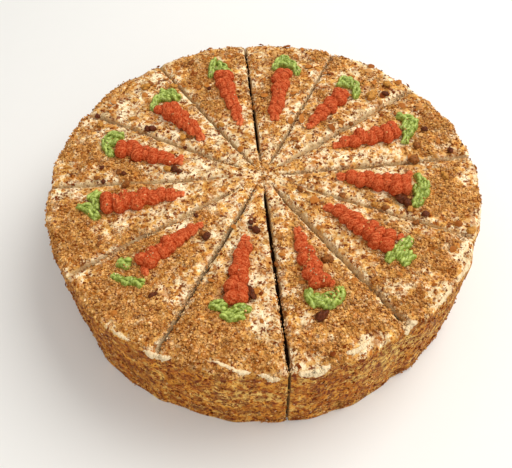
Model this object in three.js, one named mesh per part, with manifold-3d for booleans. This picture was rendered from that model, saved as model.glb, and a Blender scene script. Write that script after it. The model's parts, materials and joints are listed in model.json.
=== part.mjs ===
// A round carrot cake, coated with cream and nut crumbs and cut into twelve portions.
// Each portion carries one piped carrot and its piped green leaves.
// Millimetres, +Z up; the origin is the centre of the flat base.

import * as THREE from "three";
import { mergeVertices } from "three/addons/utils/BufferGeometryUtils.js";
import Module from "manifold-3d";

const wasm = await Module();
wasm.setup();

// ---------- driving dimensions ----------

const CAKE_RADIUS = 130;
const CAKE_HEIGHT = 63;
const POINT_RADIUS = 3; // where the blunt point of a portion starts
const CLOSED_CUT = 0.6; // gap left deep in a cut whose sides have closed up
const RIM_ROUND = 4; // how far the top edge rounds over
const CUT_DENT = 1.2; // how far the side is drawn in at each cut
const FACETS_PER_PORTION = 8;
const LIFT = 0.3; // gap under each piped piece

const CARROT_RISE = 1.2; // height of a carrot over its half width
const CARROT_WANDER = 0.5; // how far the piped turns swing to each side
const LOBE_PITCH = 5.4; // spacing of the piped turns along a carrot
const LEAF_HALF = 2.9; // half width of the leaf ruffle near its ends
const LEAF_SWELL = 1.1; // how much wider each side is in the middle
const LEAF_HEIGHT = 4.4;
const LEAF_TURN = 0.5; // angle taken up by each fold of the ruffle, in radians

const NUTS_ON_TOP = 12; // on each portion
const NUTS_ON_SIDE = 4;
const NUT_MIN = 2.4;
const NUT_MAX = 4.2;

// One row for each cut, anticlockwise: its direction, and how wide it gapes at the top and deep down.
const CUTS = [
  { angle: -85.4, top: 2.3, deep: 1.5 },
  { angle: -55.6, top: 2.7, deep: CLOSED_CUT },
  { angle: -23.0, top: 1.9, deep: CLOSED_CUT },
  { angle: 5.6, top: 2.5, deep: CLOSED_CUT },
  { angle: 36.5, top: 3.0, deep: CLOSED_CUT },
  { angle: 65.3, top: 1.8, deep: CLOSED_CUT },
  { angle: 94.4, top: 2.2, deep: 1.4 },
  { angle: 123.4, top: 1.7, deep: CLOSED_CUT },
  { angle: 152.6, top: 1.9, deep: CLOSED_CUT },
  { angle: 182.5, top: 1.5, deep: CLOSED_CUT },
  { angle: 213.0, top: 2.2, deep: CLOSED_CUT },
  { angle: 244.5, top: 2.6, deep: CLOSED_CUT },
];

// One row for each portion's carrot: distance of its middle from the cake's centre, shift to the left
// of the portion's centre line, lean from that line in degrees, length, width at the shoulder,
// width at the tip, and the directions in degrees between which the leaves fan out.
const CARROTS = [
  { out: 67.0, shift: 0.8, lean: -4.2, length: 40.5, width: 11.5, tip: 4.0, fan: [-80, 64] },
  { out: 67.5, shift: 1.8, lean: -5.7, length: 44.0, width: 12.5, tip: 5.5, fan: [-68, 62] },
  { out: 66.5, shift: 0.9, lean: -6.2, length: 41.5, width: 14.5, tip: 6.0, fan: [-80, 60] },
  { out: 71.5, shift: 2.3, lean: -7.6, length: 42.0, width: 13.8, tip: 5.0, fan: [-88, 64] },
  { out: 70.5, shift: 1.3, lean: 0.1, length: 40.5, width: 11.0, tip: 5.0, fan: [-86, 66] },
  { out: 72.0, shift: 0.1, lean: 1.2, length: 46.5, width: 11.0, tip: 6.5, fan: [-90, 66] },
  { out: 70.5, shift: -3.2, lean: -3.0, length: 50.0, width: 12.0, tip: 3.0, fan: [-84, 80] },
  { out: 67.5, shift: -0.5, lean: -8.4, length: 38.5, width: 12.5, tip: 6.0, fan: [-78, 80] },
  { out: 71.5, shift: -2.7, lean: -6.2, length: 37.5, width: 12.0, tip: 6.0, fan: [-74, 78] },
  { out: 72.5, shift: -3.3, lean: -6.9, length: 45.5, width: 13.5, tip: 4.0, fan: [-64, 66] },
  { out: 72.0, shift: -4.9, lean: -7.8, length: 41.5, width: 12.0, tip: 4.0, fan: [-46, 62] },
  { out: 70.0, shift: -0.7, lean: 1.4, length: 43.5, width: 12.0, tip: 5.0, fan: [-70, 62] },
];

// The largest nut and raisin pieces: portion number, distance out, shift left, length.
const LARGE_PIECES = [
  [1, 98, -10.0, 5.4],
  [1, 69, 12.5, 5.2],
  [3, 71, -13.5, 6.0],
  [4, 108, -4.0, 4.8],
  [4, 98, -17.5, 5.0],
  [5, 107, -19.0, 4.8],
  [7, 117, -14.0, 4.4],
  [8, 74, 14.5, 6.0],
  [9, 54, -12.0, 4.6],
  [11, 53, 9.0, 4.6],
  [12, 80, 12.5, 6.2],
  [12, 38, 3.5, 5.0],
];

// ---------- small helpers ----------

const rad = THREE.MathUtils.degToRad;
const mix = THREE.MathUtils.lerp;
const ease = THREE.MathUtils.smoothstep;

// A repeatable stream of numbers from 0 to 1.
function stream(seed) {
  let state = seed;
  return () => {
    state = (state * 16807) % 2147483647;
    return state / 2147483647;
  };
}

// The geometry as a closed solid, its vertices shared.
function solidOf(geometry) {
  geometry.deleteAttribute("normal");
  geometry.deleteAttribute("uv");
  const merged = mergeVertices(geometry, 1e-4);
  return new wasm.Manifold(
    new wasm.Mesh({
      numProp: 3,
      vertProperties: new Float32Array(merged.attributes.position.array),
      triVerts: new Uint32Array(merged.index.array),
    }),
  );
}

function geometryOf(solid) {
  const mesh = solid.getMesh();
  const geometry = new THREE.BufferGeometry();
  geometry.setAttribute("position", new THREE.BufferAttribute(mesh.vertProperties, 3));
  geometry.setIndex(new THREE.BufferAttribute(mesh.triVerts, 1));
  geometry.computeVertexNormals();
  return geometry;
}

// Moves each vertex of a geometry to where place(vertex) puts it.
function reshape(geometry, place) {
  const positions = geometry.attributes.position;
  for (let i = 0; i < positions.count; i++) {
    positions.setXYZ(i, ...place(new THREE.Vector3().fromBufferAttribute(positions, i)));
  }
  return geometry;
}

// ---------- the cut cake ----------

// The two cuts that bound a portion, its centre line's direction and half its angle.
function portionFrame(index) {
  const right = CUTS[index];
  const left = CUTS[(index + 1) % CUTS.length];
  const from = rad(right.angle);
  const to = rad(left.angle) + (left.angle < right.angle ? 2 * Math.PI : 0);
  return { right, left, middle: (from + to) / 2, half: (to - from) / 2 };
}

// The coated side: slightly out of round, bulging between the cuts.
function sideRadius(radius, angle, share, z) {
  const wave = 0.6 * Math.sin(3 * angle + 1.1) + 0.5 * Math.sin(8 * angle + 0.4);
  const dents = 0.35 * Math.sin(17 * angle + 0.16 * z) + 0.3 * Math.sin(23 * angle - 0.21 * z);
  const bulge = CUT_DENT * (Math.sin(Math.PI * share) ** 0.6 - 1);
  return radius + wave + dents + bulge;
}

// The whole cake, turned from its profile, with the same number of facets on each portion.
function wholeCake() {
  const profile = [
    [0, 0],
    [CAKE_RADIUS - 0.9, 0],
    [CAKE_RADIUS, 4],
    [CAKE_RADIUS, 32],
    [CAKE_RADIUS, CAKE_HEIGHT - RIM_ROUND],
    [CAKE_RADIUS - 0.3 * RIM_ROUND, CAKE_HEIGHT - 0.3 * RIM_ROUND],
    [CAKE_RADIUS - RIM_ROUND, CAKE_HEIGHT],
    [0, CAKE_HEIGHT],
  ].map(([radius, height]) => new THREE.Vector2(radius, height));
  const facets = FACETS_PER_PORTION * CUTS.length;
  const geometry = new THREE.LatheGeometry(profile, facets).rotateX(Math.PI / 2);
  const place = (point) => {
    const radius = Math.hypot(point.x, point.y);
    if (radius < 1) return point;
    const turn = Math.atan2(point.y, point.x) / (2 * Math.PI);
    const facet = (Math.round(turn * facets) + facets) % facets;
    const share = (facet % FACETS_PER_PORTION) / FACETS_PER_PORTION;
    const { middle, half } = portionFrame(Math.floor(facet / FACETS_PER_PORTION));
    const angle = middle + mix(-half, half, share);
    const side = sideRadius(radius, angle, share, point.z);
    return new THREE.Vector3(side * Math.cos(angle), side * Math.sin(angle), point.z);
  };
  return solidOf(reshape(geometry, place));
}

// Half the gap of a cut: gaping outwards at the top and closing up at the centre and deep down.
function halfGap(cut, radius, z) {
  const high = ease(z, CAKE_HEIGHT - 9, CAKE_HEIGHT + 1);
  return mix(CLOSED_CUT, mix(cut.deep, cut.top, high), ease(radius, 6, 45)) / 2;
}

// The space between two cuts, which takes one portion out of the cake.
function sectorSolid(index) {
  const { right, left, middle, half } = portionFrame(index);
  const radii = [POINT_RADIUS, 24, 50, CAKE_RADIUS + 10];
  const heights = [-1, CAKE_HEIGHT - 9, CAKE_HEIGHT - 3, CAKE_HEIGHT + 1];
  const geometry = new THREE.BoxGeometry(1, 1, 1, radii.length - 1, 1, heights.length - 1);
  const place = (corner) => {
    const radius = radii[Math.round((corner.x + 0.5) * (radii.length - 1))];
    const z = heights[Math.round((corner.z + 0.5) * (heights.length - 1))];
    const cut = corner.y < 0 ? right : left;
    const angle = middle + 2 * corner.y * (half - Math.asin(halfGap(cut, radius, z) / radius));
    return new THREE.Vector3(radius * Math.cos(angle), radius * Math.sin(angle), z);
  };
  return solidOf(reshape(geometry, place));
}

// ---------- nut pieces pressed into the coat ----------

// A nut piece lying flat, centred on the origin.
function nutGeometry(size, turn) {
  const geometry = new THREE.IcosahedronGeometry(size / 2, 0);
  return geometry.scale(1, 0.78, 0.62).rotateX(0.35).rotateZ(turn);
}

// True where a nut of that size clears the piping, the cuts and the rim.
function nutFits(index, x, y, size) {
  const carrot = CARROTS[index];
  const room = x * Math.tan(portionFrame(index).half) - 2.6 - size / 2;
  const ahead = x - carrot.out;
  const drift = y - carrot.shift - ahead * Math.tan(rad(carrot.lean));
  const piping = ahead > 0 ? carrot.width / 2 + 8 : carrot.width / 2 + 1;
  const beside = Math.abs(drift) > piping + size / 2;
  const past = ahead < -carrot.length / 2 - size || ahead > carrot.length / 2 + 9 + size / 2;
  return Math.abs(y) < room && Math.hypot(x, y) < CAKE_RADIUS - 8 && (beside || past);
}

// The large pieces that fit and a scatter of small ones, each as [distance out, shift, size].
function nutPlaces(index, next) {
  const large = LARGE_PIECES.filter(([portion]) => portion === index + 1).map((row) => row.slice(1));
  const placed = large.filter(([x, y, size]) => nutFits(index, x, y, size));
  while (placed.length < NUTS_ON_TOP) {
    const size = mix(NUT_MIN, NUT_MAX, next());
    const x = Math.sqrt(mix(24 ** 2, 121 ** 2, next()));
    const y = (2 * next() - 1) * x * 0.27;
    const apart = placed.every(([px, py, other]) => Math.hypot(px - x, py - y) > (other + size) / 2 + 1.5);
    if (apart && nutFits(index, x, y, size)) placed.push([x, y, size]);
  }
  return placed;
}

// The nuts of a portion: some on its top, each sunk by nearly half, and some on its side.
function nutSolids(index) {
  const { middle, half } = portionFrame(index);
  const next = stream(7001 + 613 * index);
  const onTop = nutPlaces(index, next).map(([x, y, size]) =>
    nutGeometry(size, 2 * Math.PI * next()).translate(x, y, CAKE_HEIGHT + 0.08 * size).rotateZ(middle),
  );
  const onSide = Array.from({ length: NUTS_ON_SIDE }, (_, place) => {
    const share = mix(0.1, 0.9, (place + 0.2 + 0.6 * next()) / NUTS_ON_SIDE);
    const angle = middle + mix(-half, half, share);
    const nut = nutGeometry(mix(NUT_MIN, NUT_MAX, next()), 2 * Math.PI * next()).rotateY(Math.PI / 2);
    const z = mix(5, CAKE_HEIGHT - 9, next());
    return nut.translate(sideRadius(CAKE_RADIUS, angle, share, z), 0, z).rotateZ(angle);
  });
  return [...onTop, ...onSide].map(solidOf);
}

const whole = wholeCake();

function portionSolid(index) {
  const plain = whole.intersect(sectorSolid(index));
  return nutSolids(index).reduce((coated, nut) => coated.add(nut), plain);
}

// ---------- piped pieces ----------

// Swells once for each piped turn, with a sharp crease between turns.
const turns = (s, count, depth) => 1 - depth + depth * Math.abs(Math.sin(Math.PI * count * s)) ** 0.7;

// Rounds both ends of a rope off over the given share of its length.
function endRound(s, share) {
  const near = Math.min(s, 1 - s, share) / share;
  return Math.sqrt(1 - 0.82 * (1 - near) ** 2);
}

// A rope with a flat foot: place(s, left, up) puts the point that lies s of the way along it,
// left of its middle line by -1 to 1 and up from its foot by 0 to 1.
function ropeSolid(sides, rings, place) {
  const geometry = new THREE.CylinderGeometry(1, 1, 1, sides, rings);
  reshape(geometry, (point) => {
    const s = point.y + 0.5;
    const round = (Math.atan2(point.x, point.z) / (2 * Math.PI)) * sides;
    const turn = (Math.PI * ((Math.round(round) + sides) % sides)) / (sides - 1);
    const onAxis = Math.hypot(point.x, point.z) < 0.5;
    return onAxis ? place(s, 0, 0.5) : place(s, Math.cos(turn), Math.abs(Math.sin(turn)) ** 0.85);
  });
  return solidOf(geometry);
}

// A carrot with its middle at the origin and its shoulder towards +X.
function carrotSolid({ length, width, tip }, phase) {
  const lobes = Math.round(length / LOBE_PITCH);
  return ropeSolid(8, 2 * lobes, (s, left, up) => {
    const taper = mix(tip / width, 1, 1 - (1 - s) ** 1.15);
    const half = 0.5 * width * taper * turns(s, lobes, 0.2) * endRound(s, 0.1);
    const wander = CARROT_WANDER * Math.sin(Math.PI * lobes * s + phase);
    return new THREE.Vector3(length * (s - 0.5), wander + half * left, half * CARROT_RISE * up);
  });
}

// Leaves that curl round the carrot's shoulder, whose middle is the origin.
function leavesSolid({ width, fan }) {
  const [low, high] = fan.map(rad);
  const lobes = Math.round((high - low) / LEAF_TURN);
  return ropeSolid(7, 2 * lobes, (s, left, up) => {
    const swell = Math.sin(Math.PI * s);
    const ruffle = turns(s, lobes, 0.26) * endRound(s, 0.16);
    const half = (LEAF_HALF + LEAF_SWELL * swell) * ruffle;
    const reach = width / 2 + 0.6 + LEAF_HALF + 1.5 * LEAF_SWELL * swell - half * left;
    const angle = mix(low, high, s);
    return new THREE.Vector3(reach * Math.cos(angle), reach * Math.sin(angle), LEAF_HEIGHT * ruffle * up);
  });
}

// ---------- the cake ----------

const coat = new THREE.MeshStandardMaterial({ color: 0xcb9657, roughness: 0.9, metalness: 0 });
const orangeCream = new THREE.MeshStandardMaterial({ color: 0xd2542c, roughness: 0.65, metalness: 0 });
const greenCream = new THREE.MeshStandardMaterial({ color: 0x93bf49, roughness: 0.45, metalness: 0 });

function namedMesh(name, solid, material) {
  const mesh = new THREE.Mesh(geometryOf(solid), material);
  mesh.name = name;
  return mesh;
}

// A carrot and its leaves, in a group that stands on the portion with +X along the carrot.
function piping(index, number) {
  const carrot = CARROTS[index];
  const group = new THREE.Group();
  group.position.set(carrot.out, carrot.shift, CAKE_HEIGHT + LIFT);
  group.rotation.z = rad(carrot.lean);
  const leaves = namedMesh(`leaves_${number}`, leavesSolid(carrot), greenCream);
  leaves.position.x = (carrot.length - carrot.width) / 2;
  group.add(namedMesh(`carrot_${number}`, carrotSolid(carrot, index), orangeCream), leaves);
  return group;
}

const cake = new THREE.Group();
CARROTS.forEach((_, index) => {
  const number = String(index + 1).padStart(2, "0");
  const trim = new THREE.Group();
  trim.rotation.z = portionFrame(index).middle;
  trim.add(piping(index, number));
  cake.add(namedMesh(`portion_${number}`, portionSolid(index), coat), trim);
});

export default cake;
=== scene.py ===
"""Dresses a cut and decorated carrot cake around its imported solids.

The cream coat, the crumbs, the nuts and the piping are made by one operator each, and the studio by
another. The cake stands on its flat base at the origin, +Z up, in metres.
"""

import itertools
import json
import math

import bmesh
import bpy
import numpy as np
from bpy.props import FloatProperty, FloatVectorProperty, IntProperty, PointerProperty
from mathutils import Matrix, Vector

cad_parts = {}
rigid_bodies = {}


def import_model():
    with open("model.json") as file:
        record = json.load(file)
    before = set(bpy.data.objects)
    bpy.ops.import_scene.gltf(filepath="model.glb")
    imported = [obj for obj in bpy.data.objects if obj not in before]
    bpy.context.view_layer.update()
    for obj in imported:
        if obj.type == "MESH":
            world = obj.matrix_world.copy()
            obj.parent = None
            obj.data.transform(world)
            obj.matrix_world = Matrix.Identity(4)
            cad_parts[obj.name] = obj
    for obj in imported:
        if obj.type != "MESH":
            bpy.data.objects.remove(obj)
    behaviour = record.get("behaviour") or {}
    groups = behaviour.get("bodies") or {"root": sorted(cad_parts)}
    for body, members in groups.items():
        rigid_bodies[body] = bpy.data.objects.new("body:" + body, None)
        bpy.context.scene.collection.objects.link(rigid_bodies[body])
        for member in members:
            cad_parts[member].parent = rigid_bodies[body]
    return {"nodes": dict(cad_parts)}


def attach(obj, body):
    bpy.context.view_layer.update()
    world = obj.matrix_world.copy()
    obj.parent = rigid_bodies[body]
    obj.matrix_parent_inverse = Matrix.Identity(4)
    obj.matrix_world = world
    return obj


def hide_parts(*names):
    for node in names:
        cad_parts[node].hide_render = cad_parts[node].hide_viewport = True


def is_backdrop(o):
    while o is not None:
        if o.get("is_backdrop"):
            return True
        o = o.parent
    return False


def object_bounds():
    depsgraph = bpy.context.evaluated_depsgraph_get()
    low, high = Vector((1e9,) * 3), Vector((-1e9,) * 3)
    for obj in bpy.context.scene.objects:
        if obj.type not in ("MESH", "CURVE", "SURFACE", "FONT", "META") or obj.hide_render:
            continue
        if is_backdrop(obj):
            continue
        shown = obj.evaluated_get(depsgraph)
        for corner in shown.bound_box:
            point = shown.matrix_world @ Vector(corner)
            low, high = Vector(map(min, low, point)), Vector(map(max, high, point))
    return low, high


bl_info = {
    "name": "Carrot Cake",
    "version": (1, 0, 0),
    "blender": (4, 5, 0),
    "location": "View3D > Sidebar > Cake",
    "description": "A round carrot cake, cut into portions, each with a piped carrot",
    "category": "Object",
}

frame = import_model()
CAD_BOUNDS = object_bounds()
BODY = "root"
MM = 0.001
PORTIONS = sum(name.startswith("portion_") for name in frame["nodes"])
CAKE_TOP = 63 * MM

# ---------- the cake's layout, in millimetres and degrees ----------

# One row for each cut, anticlockwise: its direction, how wide it gapes at the top, how wide it stays
# deep down, how wide it shows on the side, how deep down it closes up, and how far out it opens.
CUTS = (
    (-85.4, 3.0, 0.6, 1.6, 16.0, 4),
    (-55.6, 4.2, 0.6, 0.1, 5.5, 6),
    (-23.0, 3.0, 0.3, 0.1, 3.5, 22),
    (5.6, 3.8, 0.4, 0.1, 4.5, 6),
    (36.5, 4.4, 0.4, 0.1, 4.5, 6),
    (65.3, 2.6, 0.5, 0.1, 5.0, 6),
    (94.4, 2.7, 0.4, 0.2, 13.0, 4),
    (123.4, 2.6, 0.6, 0.1, 6.0, 6),
    (152.6, 3.6, 0.4, 0.1, 4.8, 12),
    (182.5, 3.6, 0.3, 0.1, 3.4, 20),
    (213.0, 4.2, 0.3, 0.1, 4.6, 12),
    (244.5, 3.2, 1.0, 0.1, 8.0, 6),
)

# One row for each carrot: distance of its middle from the cake's centre, shift to the left of the
# portion's centre line, lean from it, length, width at the shoulder and at the tip, then how far its
# turns slant together and how far they swing to and fro.
CARROTS = (
    (66.0, 0.9, -4.2, 40.0, 12.6, 4.0, -6, 14),
    (67.0, 1.6, -5.7, 44.0, 14.0, 5.5, 16, 8),
    (66.5, 0.9, -6.2, 41.5, 14.5, 6.0, 14, 4),
    (71.5, 2.3, -7.6, 42.0, 13.8, 5.0, 8, 5),
    (70.5, 1.3, 0.1, 40.5, 11.0, 5.0, -8, 16),
    (72.0, 0.1, 1.2, 46.5, 11.0, 6.5, 14, 14),
    (70.5, -3.2, -3.0, 50.0, 12.0, 3.0, -8, 20),
    (67.5, -0.5, -8.4, 38.5, 12.5, 6.0, -22, 6),
    (71.6, -1.6, -6.2, 41.0, 12.6, 6.0, 18, 6),
    (72.5, -3.3, -6.9, 46.5, 15.0, 4.0, 4, 14),
    (72.0, -4.9, -7.8, 41.5, 12.0, 4.0, -4, 24),
    (70.0, -0.7, 1.4, 43.5, 12.0, 5.0, 5, 16),
)

# Extra dabs of orange cream beside a carrot: its number, x, y, length, width and direction.
ORANGE_DABS = (
    (8, -66.5, 58.0, 7.5, 5.5, 160), (11, -65.0, -68.5, 7.5, 3.4, -70),
    (1, 33.6, -79.2, 6.0, 3.4, 14), (2, 75.5, -50.0, 5.5, 2.8, 55),
    (9, -50.5, 14.0, 6.0, 2.6, 75), (3, 88.0, -3.5, 5.5, 3.0, 60),
    (12, -14.0, -80.5, 5.0, 5.0, 20),
)

# Strokes of green cream, in the order of the portions; each point gives x, y and width.
LEAF_STROKES = (
    (
        ((22.0, -84.2, 4.0), (22.4, -88.6, 5.0), (25.5, -91.6, 5.2)),
        ((25.0, -90.0, 5.5), (31.0, -92.4, 6.6), (35.8, -90.0, 5.5)),
        ((35.5, -90.0, 5.2), (38.8, -86.8, 6.0), (38.2, -83.0, 4.6)),
        ((26.8, -87.6, 4.2), (34.6, -87.4, 4.2)),
    ),
    (
        ((66.6, -65.0, 4.2), (69.2, -62.0, 5.0), (72.4, -58.6, 5.2)),
        ((74.6, -67.6, 4.0), (76.8, -65.0, 5.2), (80.0, -62.6, 4.6)),
        ((73.0, -58.6, 6.0), (77.6, -54.8, 6.2), (81.2, -51.8, 4.8)),
        ((72.6, -64.0, 5.0), (76.6, -60.0, 5.4)),
    ),
    (
        ((93.2, -4.4, 4.0), (94.4, -9.4, 5.0)),
        ((96.0, -11.2, 5.6), (94.0, -16.8, 8.4), (90.8, -22.4, 7.4), (88.0, -27.4, 4.4)),
        ((91.0, -13.6, 4.4), (89.8, -20.0, 4.6)),
    ),
    (
        ((90.0, 47.4, 4.8), (94.4, 44.6, 6.2), (99.4, 41.4, 6.4)),
        ((98.0, 39.4, 6.0), (95.2, 34.6, 6.8), (91.8, 29.6, 5.8), (90.0, 23.6, 3.8)),
        ((91.0, 36.8, 4.0), (94.0, 40.4, 5.0)),
    ),
    (
        ((54.2, 79.8, 3.8), (57.4, 84.0, 6.0), (62.4, 83.8, 6.6)),
        ((57.4, 80.6, 4.6), (61.6, 79.4, 5.0)),
        ((63.4, 82.0, 6.2), (65.4, 75.4, 6.4), (64.0, 67.4, 4.2)),
    ),
    (
        ((10.8, 99.6, 4.0), (13.8, 104.8, 5.4), (17.2, 112.0, 3.4)),
        ((18.4, 110.0, 4.0), (22.2, 103.4, 6.6), (25.8, 97.0, 5.6), (26.4, 92.4, 3.8)),
        ((15.0, 103.6, 5.0), (21.0, 102.4, 5.4)),
    ),
    (
        ((-31.8, 110.0, 2.8), (-32.8, 103.0, 4.6), (-33.4, 92.0, 3.8)),
        ((-28.4, 107.0, 3.2), (-25.4, 101.6, 5.6), (-21.2, 92.8, 4.8)),
        ((-31.0, 99.6, 4.6), (-26.4, 99.0, 4.6)),
    ),
    (
        ((-71.4, 59.6, 3.4), (-69.8, 66.8, 5.0), (-66.0, 72.6, 6.4)),
        ((-66.4, 74.6, 6.6), (-60.2, 74.4, 7.2), (-55.2, 68.8, 6.0)),
        ((-66.4, 69.6, 5.0), (-60.6, 69.8, 5.4)),
    ),
    (
        ((-88.6, 34.6, 4.8), (-94.0, 35.2, 6.4), (-97.6, 31.8, 5.2)),
        ((-99.0, 29.6, 5.0), (-97.2, 23.6, 5.6), (-93.2, 17.4, 4.0)),
        ((-91.8, 30.4, 4.4), (-95.0, 27.2, 4.4)),
    ),
    (
        ((-97.4, -13.6, 4.6), (-101.0, -18.4, 7.0)),
        ((-107.0, -23.4, 3.6), (-101.4, -25.0, 6.2), (-96.0, -31.2, 4.8)),
        ((-98.0, -19.6, 4.6), (-97.4, -25.4, 4.8)),
    ),
    (
        ((-78.4, -63.4, 6.0), (-73.8, -64.6, 7.2)),
        ((-80.6, -72.0, 3.0), (-74.2, -76.0, 4.2), (-69.4, -75.4, 4.6), (-65.4, -77.4, 5.4)),
    ),
    (
        ((-28.0, -91.2, 5.6), (-21.4, -92.0, 6.4)),
        ((-19.0, -94.8, 3.8), (-14.0, -93.6, 5.0), (-9.0, -93.6, 3.8)),
        ((-22.4, -97.0, 4.0), (-18.2, -98.8, 4.6), (-12.6, -97.8, 4.0)),
    ),
)

# Where toasted crumbs lie thick on the top: x, y, reach and how thick.
DRIFTS = (
    (-38, -108, 24, 1.0), (-8, -116, 18, 0.9), (-30, -96, 16, 0.6), (42, -100, 24, 0.8),
    (62, -88, 14, 0.6), (30, -118, 12, 0.5), (-78, -82, 28, 1.0), (-102, -52, 22, 0.9),
    (-78, -44, 14, 0.6), (-112, 22, 16, 0.6), (-106, -28, 12, 0.6), (90, -60, 20, 1.0),
    (110, -24, 18, 1.0), (110, 32, 16, 0.9), (100, 54, 16, 0.6), (-42, 110, 18, 0.7),
    (20, 116, 13, 0.5), (74, 88, 13, 0.6), (22, -28, 12, 0.5), (24, 50, 10, 0.5),
    (-60, -52, 12, 0.5), (-32, -28, 12, 0.7), (-36, 20, 12, 0.4), (-48, 88, 13, 0.9),
    (-28, 64, 14, 0.9), (-88, 9, 13, 0.8), (-80, -9, 10, 0.6), (4, 72, 11, 0.7),
    (-8, 108, 10, 0.7), (50, 108, 11, 0.7), (42, 66, 11, 0.7), (82, 46, 9, 0.6),
    (110, -8, 12, 0.7), (66, -38, 12, 0.8), (16, -74, 8, 0.6), (-27, -77, 9, 0.7),
    (47, -5, 9, 0.6), (10, -50, 9, 0.5), (28, 30, 9, 0.4), (-70, 66, 8, 0.5), (68, -70, 9, 0.7),
    (30, -84, 6, 0.8), (29, -58, 7, 0.5), (-46, -54, 8, 0.5), (32, 94, 8, 0.5), (4, 92, 8, 0.5),
    (0, 0, 7, 0.6), (-16, -10, 10, 0.5), (-104, -36, 9, 0.5), (-114, -22, 8, 0.5),
    (104, 12, 9, 0.5), (-30, 74, 8, 0.4),
)

# Where the cream lies nearly bare: x, y, reach and how bare.
BARE_PATCHES = (
    (-5, -96, 9, 1.0), (2, -80, 6, 0.6), (-8, -62, 7, 0.5), (14, -60, 7, 0.4), (20, -100, 6, 0.6),
    (30, -110, 5, 0.4), (49, -74, 6, 0.7), (66, -84, 9, 1.0), (76, -76, 5, 0.3),
    (94, -88, 11, 1.0), (114, -60, 9, 1.0), (120, -34, 7, 0.7), (124, -6, 8, 0.8),
    (122, 30, 9, 0.8), (46, -113, 6, 0.8), (22, -126, 5, 0.9), (-72, -63, 5, 0.4),
    (74, -36, 6, 0.7), (90, -42, 6, 0.8), (72, 5, 8, 0.7), (64, 14, 7, 0.6), (72, 54, 7, 0.7),
    (60, 50, 6, 0.5), (92, 68, 7, 0.6), (52, 94, 6, 0.3), (70, 101, 7, 0.4), (30, 118, 8, 0.6),
    (-6, 84, 7, 0.3), (-28, 34, 11, 0.7), (-84, 72, 12, 0.6), (-68, 94, 10, 0.7),
    (-94, 56, 9, 0.6), (-113, 34, 10, 0.4), (-62, 8, 8, 0.6), (-50, -5, 9, 0.7),
    (-108, -8, 8, 0.5), (-50, -34, 7, 0.6), (-88, -46, 8, 0.8), (-20, -47, 8, 0.7),
    (-43, -84, 5, 0.5), (-52, -88, 5, 0.3), (-8, -77, 7, 0.7), (-2, -108, 8, 0.8),
    (72, -16, 7, 0.7), (80, -38, 6, 0.6), (64, 92, 8, 0.6), (-97, -2, 7, 0.5), (-40, 10, 10, 0.5),
    (-30, 10, 8, 0.4), (114, -45, 6, 0.5), (-12, 20, 9, 0.4), (-62, 116, 7, 0.3),
    (-88, -59, 7, 0.8), (-97, -69, 8, 0.7), (-93, -40, 4, 0.7), (-80, -35, 6, 0.6),
    (-118, -12, 6, 0.5),
)

# Where the side shows more cream.
SIDE_BARE = (
    (12, -130, 26, 0.45), (58, -114, 24, 0.4), (-30, -128, 16, 0.3), (-96, -84, 18, 0.25),
)

# Layers of colour in the coat over honey-coloured cream, from the lowest up: shade, strength, size of
# its patches in millimetres, the share that it covers and how much more it covers under thick crumbs,
# where the cream is bare and on the side, how soft its edges are, and its part of the pattern.
CREAM_LAYERS = (
    ("cream", 0.95, 8.0, (0.62, -0.60, 0.34, -0.10), 0.07, 0.31),
    ("cream", 0.85, 3.6, (0.34, -0.20, 0.30, 0.0), 0.05, 0.77),
    ("honey", 0.80, 4.6, (0.32, 0.14, -0.10, -0.04), 0.07, 0.42),
    ("toffee", 0.70, 6.5, (0.26, 0.24, -0.24, 0.0), 0.09, 0.47),
    ("toffee", 0.90, 2.8, (0.26, 0.10, -0.10, 0.08), 0.04, 0.13),
    ("dark", 0.66, 5.0, (-0.10, 0.08, 0.0, 0.40), 0.06, 0.67),
    ("golden", 0.60, 2.2, (0.10, 0.24, -0.10, 0.06), 0.05, 0.55),
    ("dark", 0.92, 3.2, (0.11, -0.02, 0.0, 0.06), 0.025, 0.93),
    ("dark", 0.92, 1.9, (0.15, 0.0, 0.0, 0.06), 0.03, 0.23),
)

# Broad stains that multiply the coat's colour: factors, strength, size, share covered, edge, shift.
STAINS = (
    ((0.66, 0.56, 0.40), 0.60, 9.0, 0.40, 0.13, 0.61),
    ((1.25, 1.32, 1.40), 0.85, 5.0, 0.42, 0.10, 0.29),
    ((0.70, 0.60, 0.44), 0.45, 3.6, 0.32, 0.09, 0.87),
)
SIDE_WARMTH = (0.84, 0.64, 0.27, 1.0)

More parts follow.
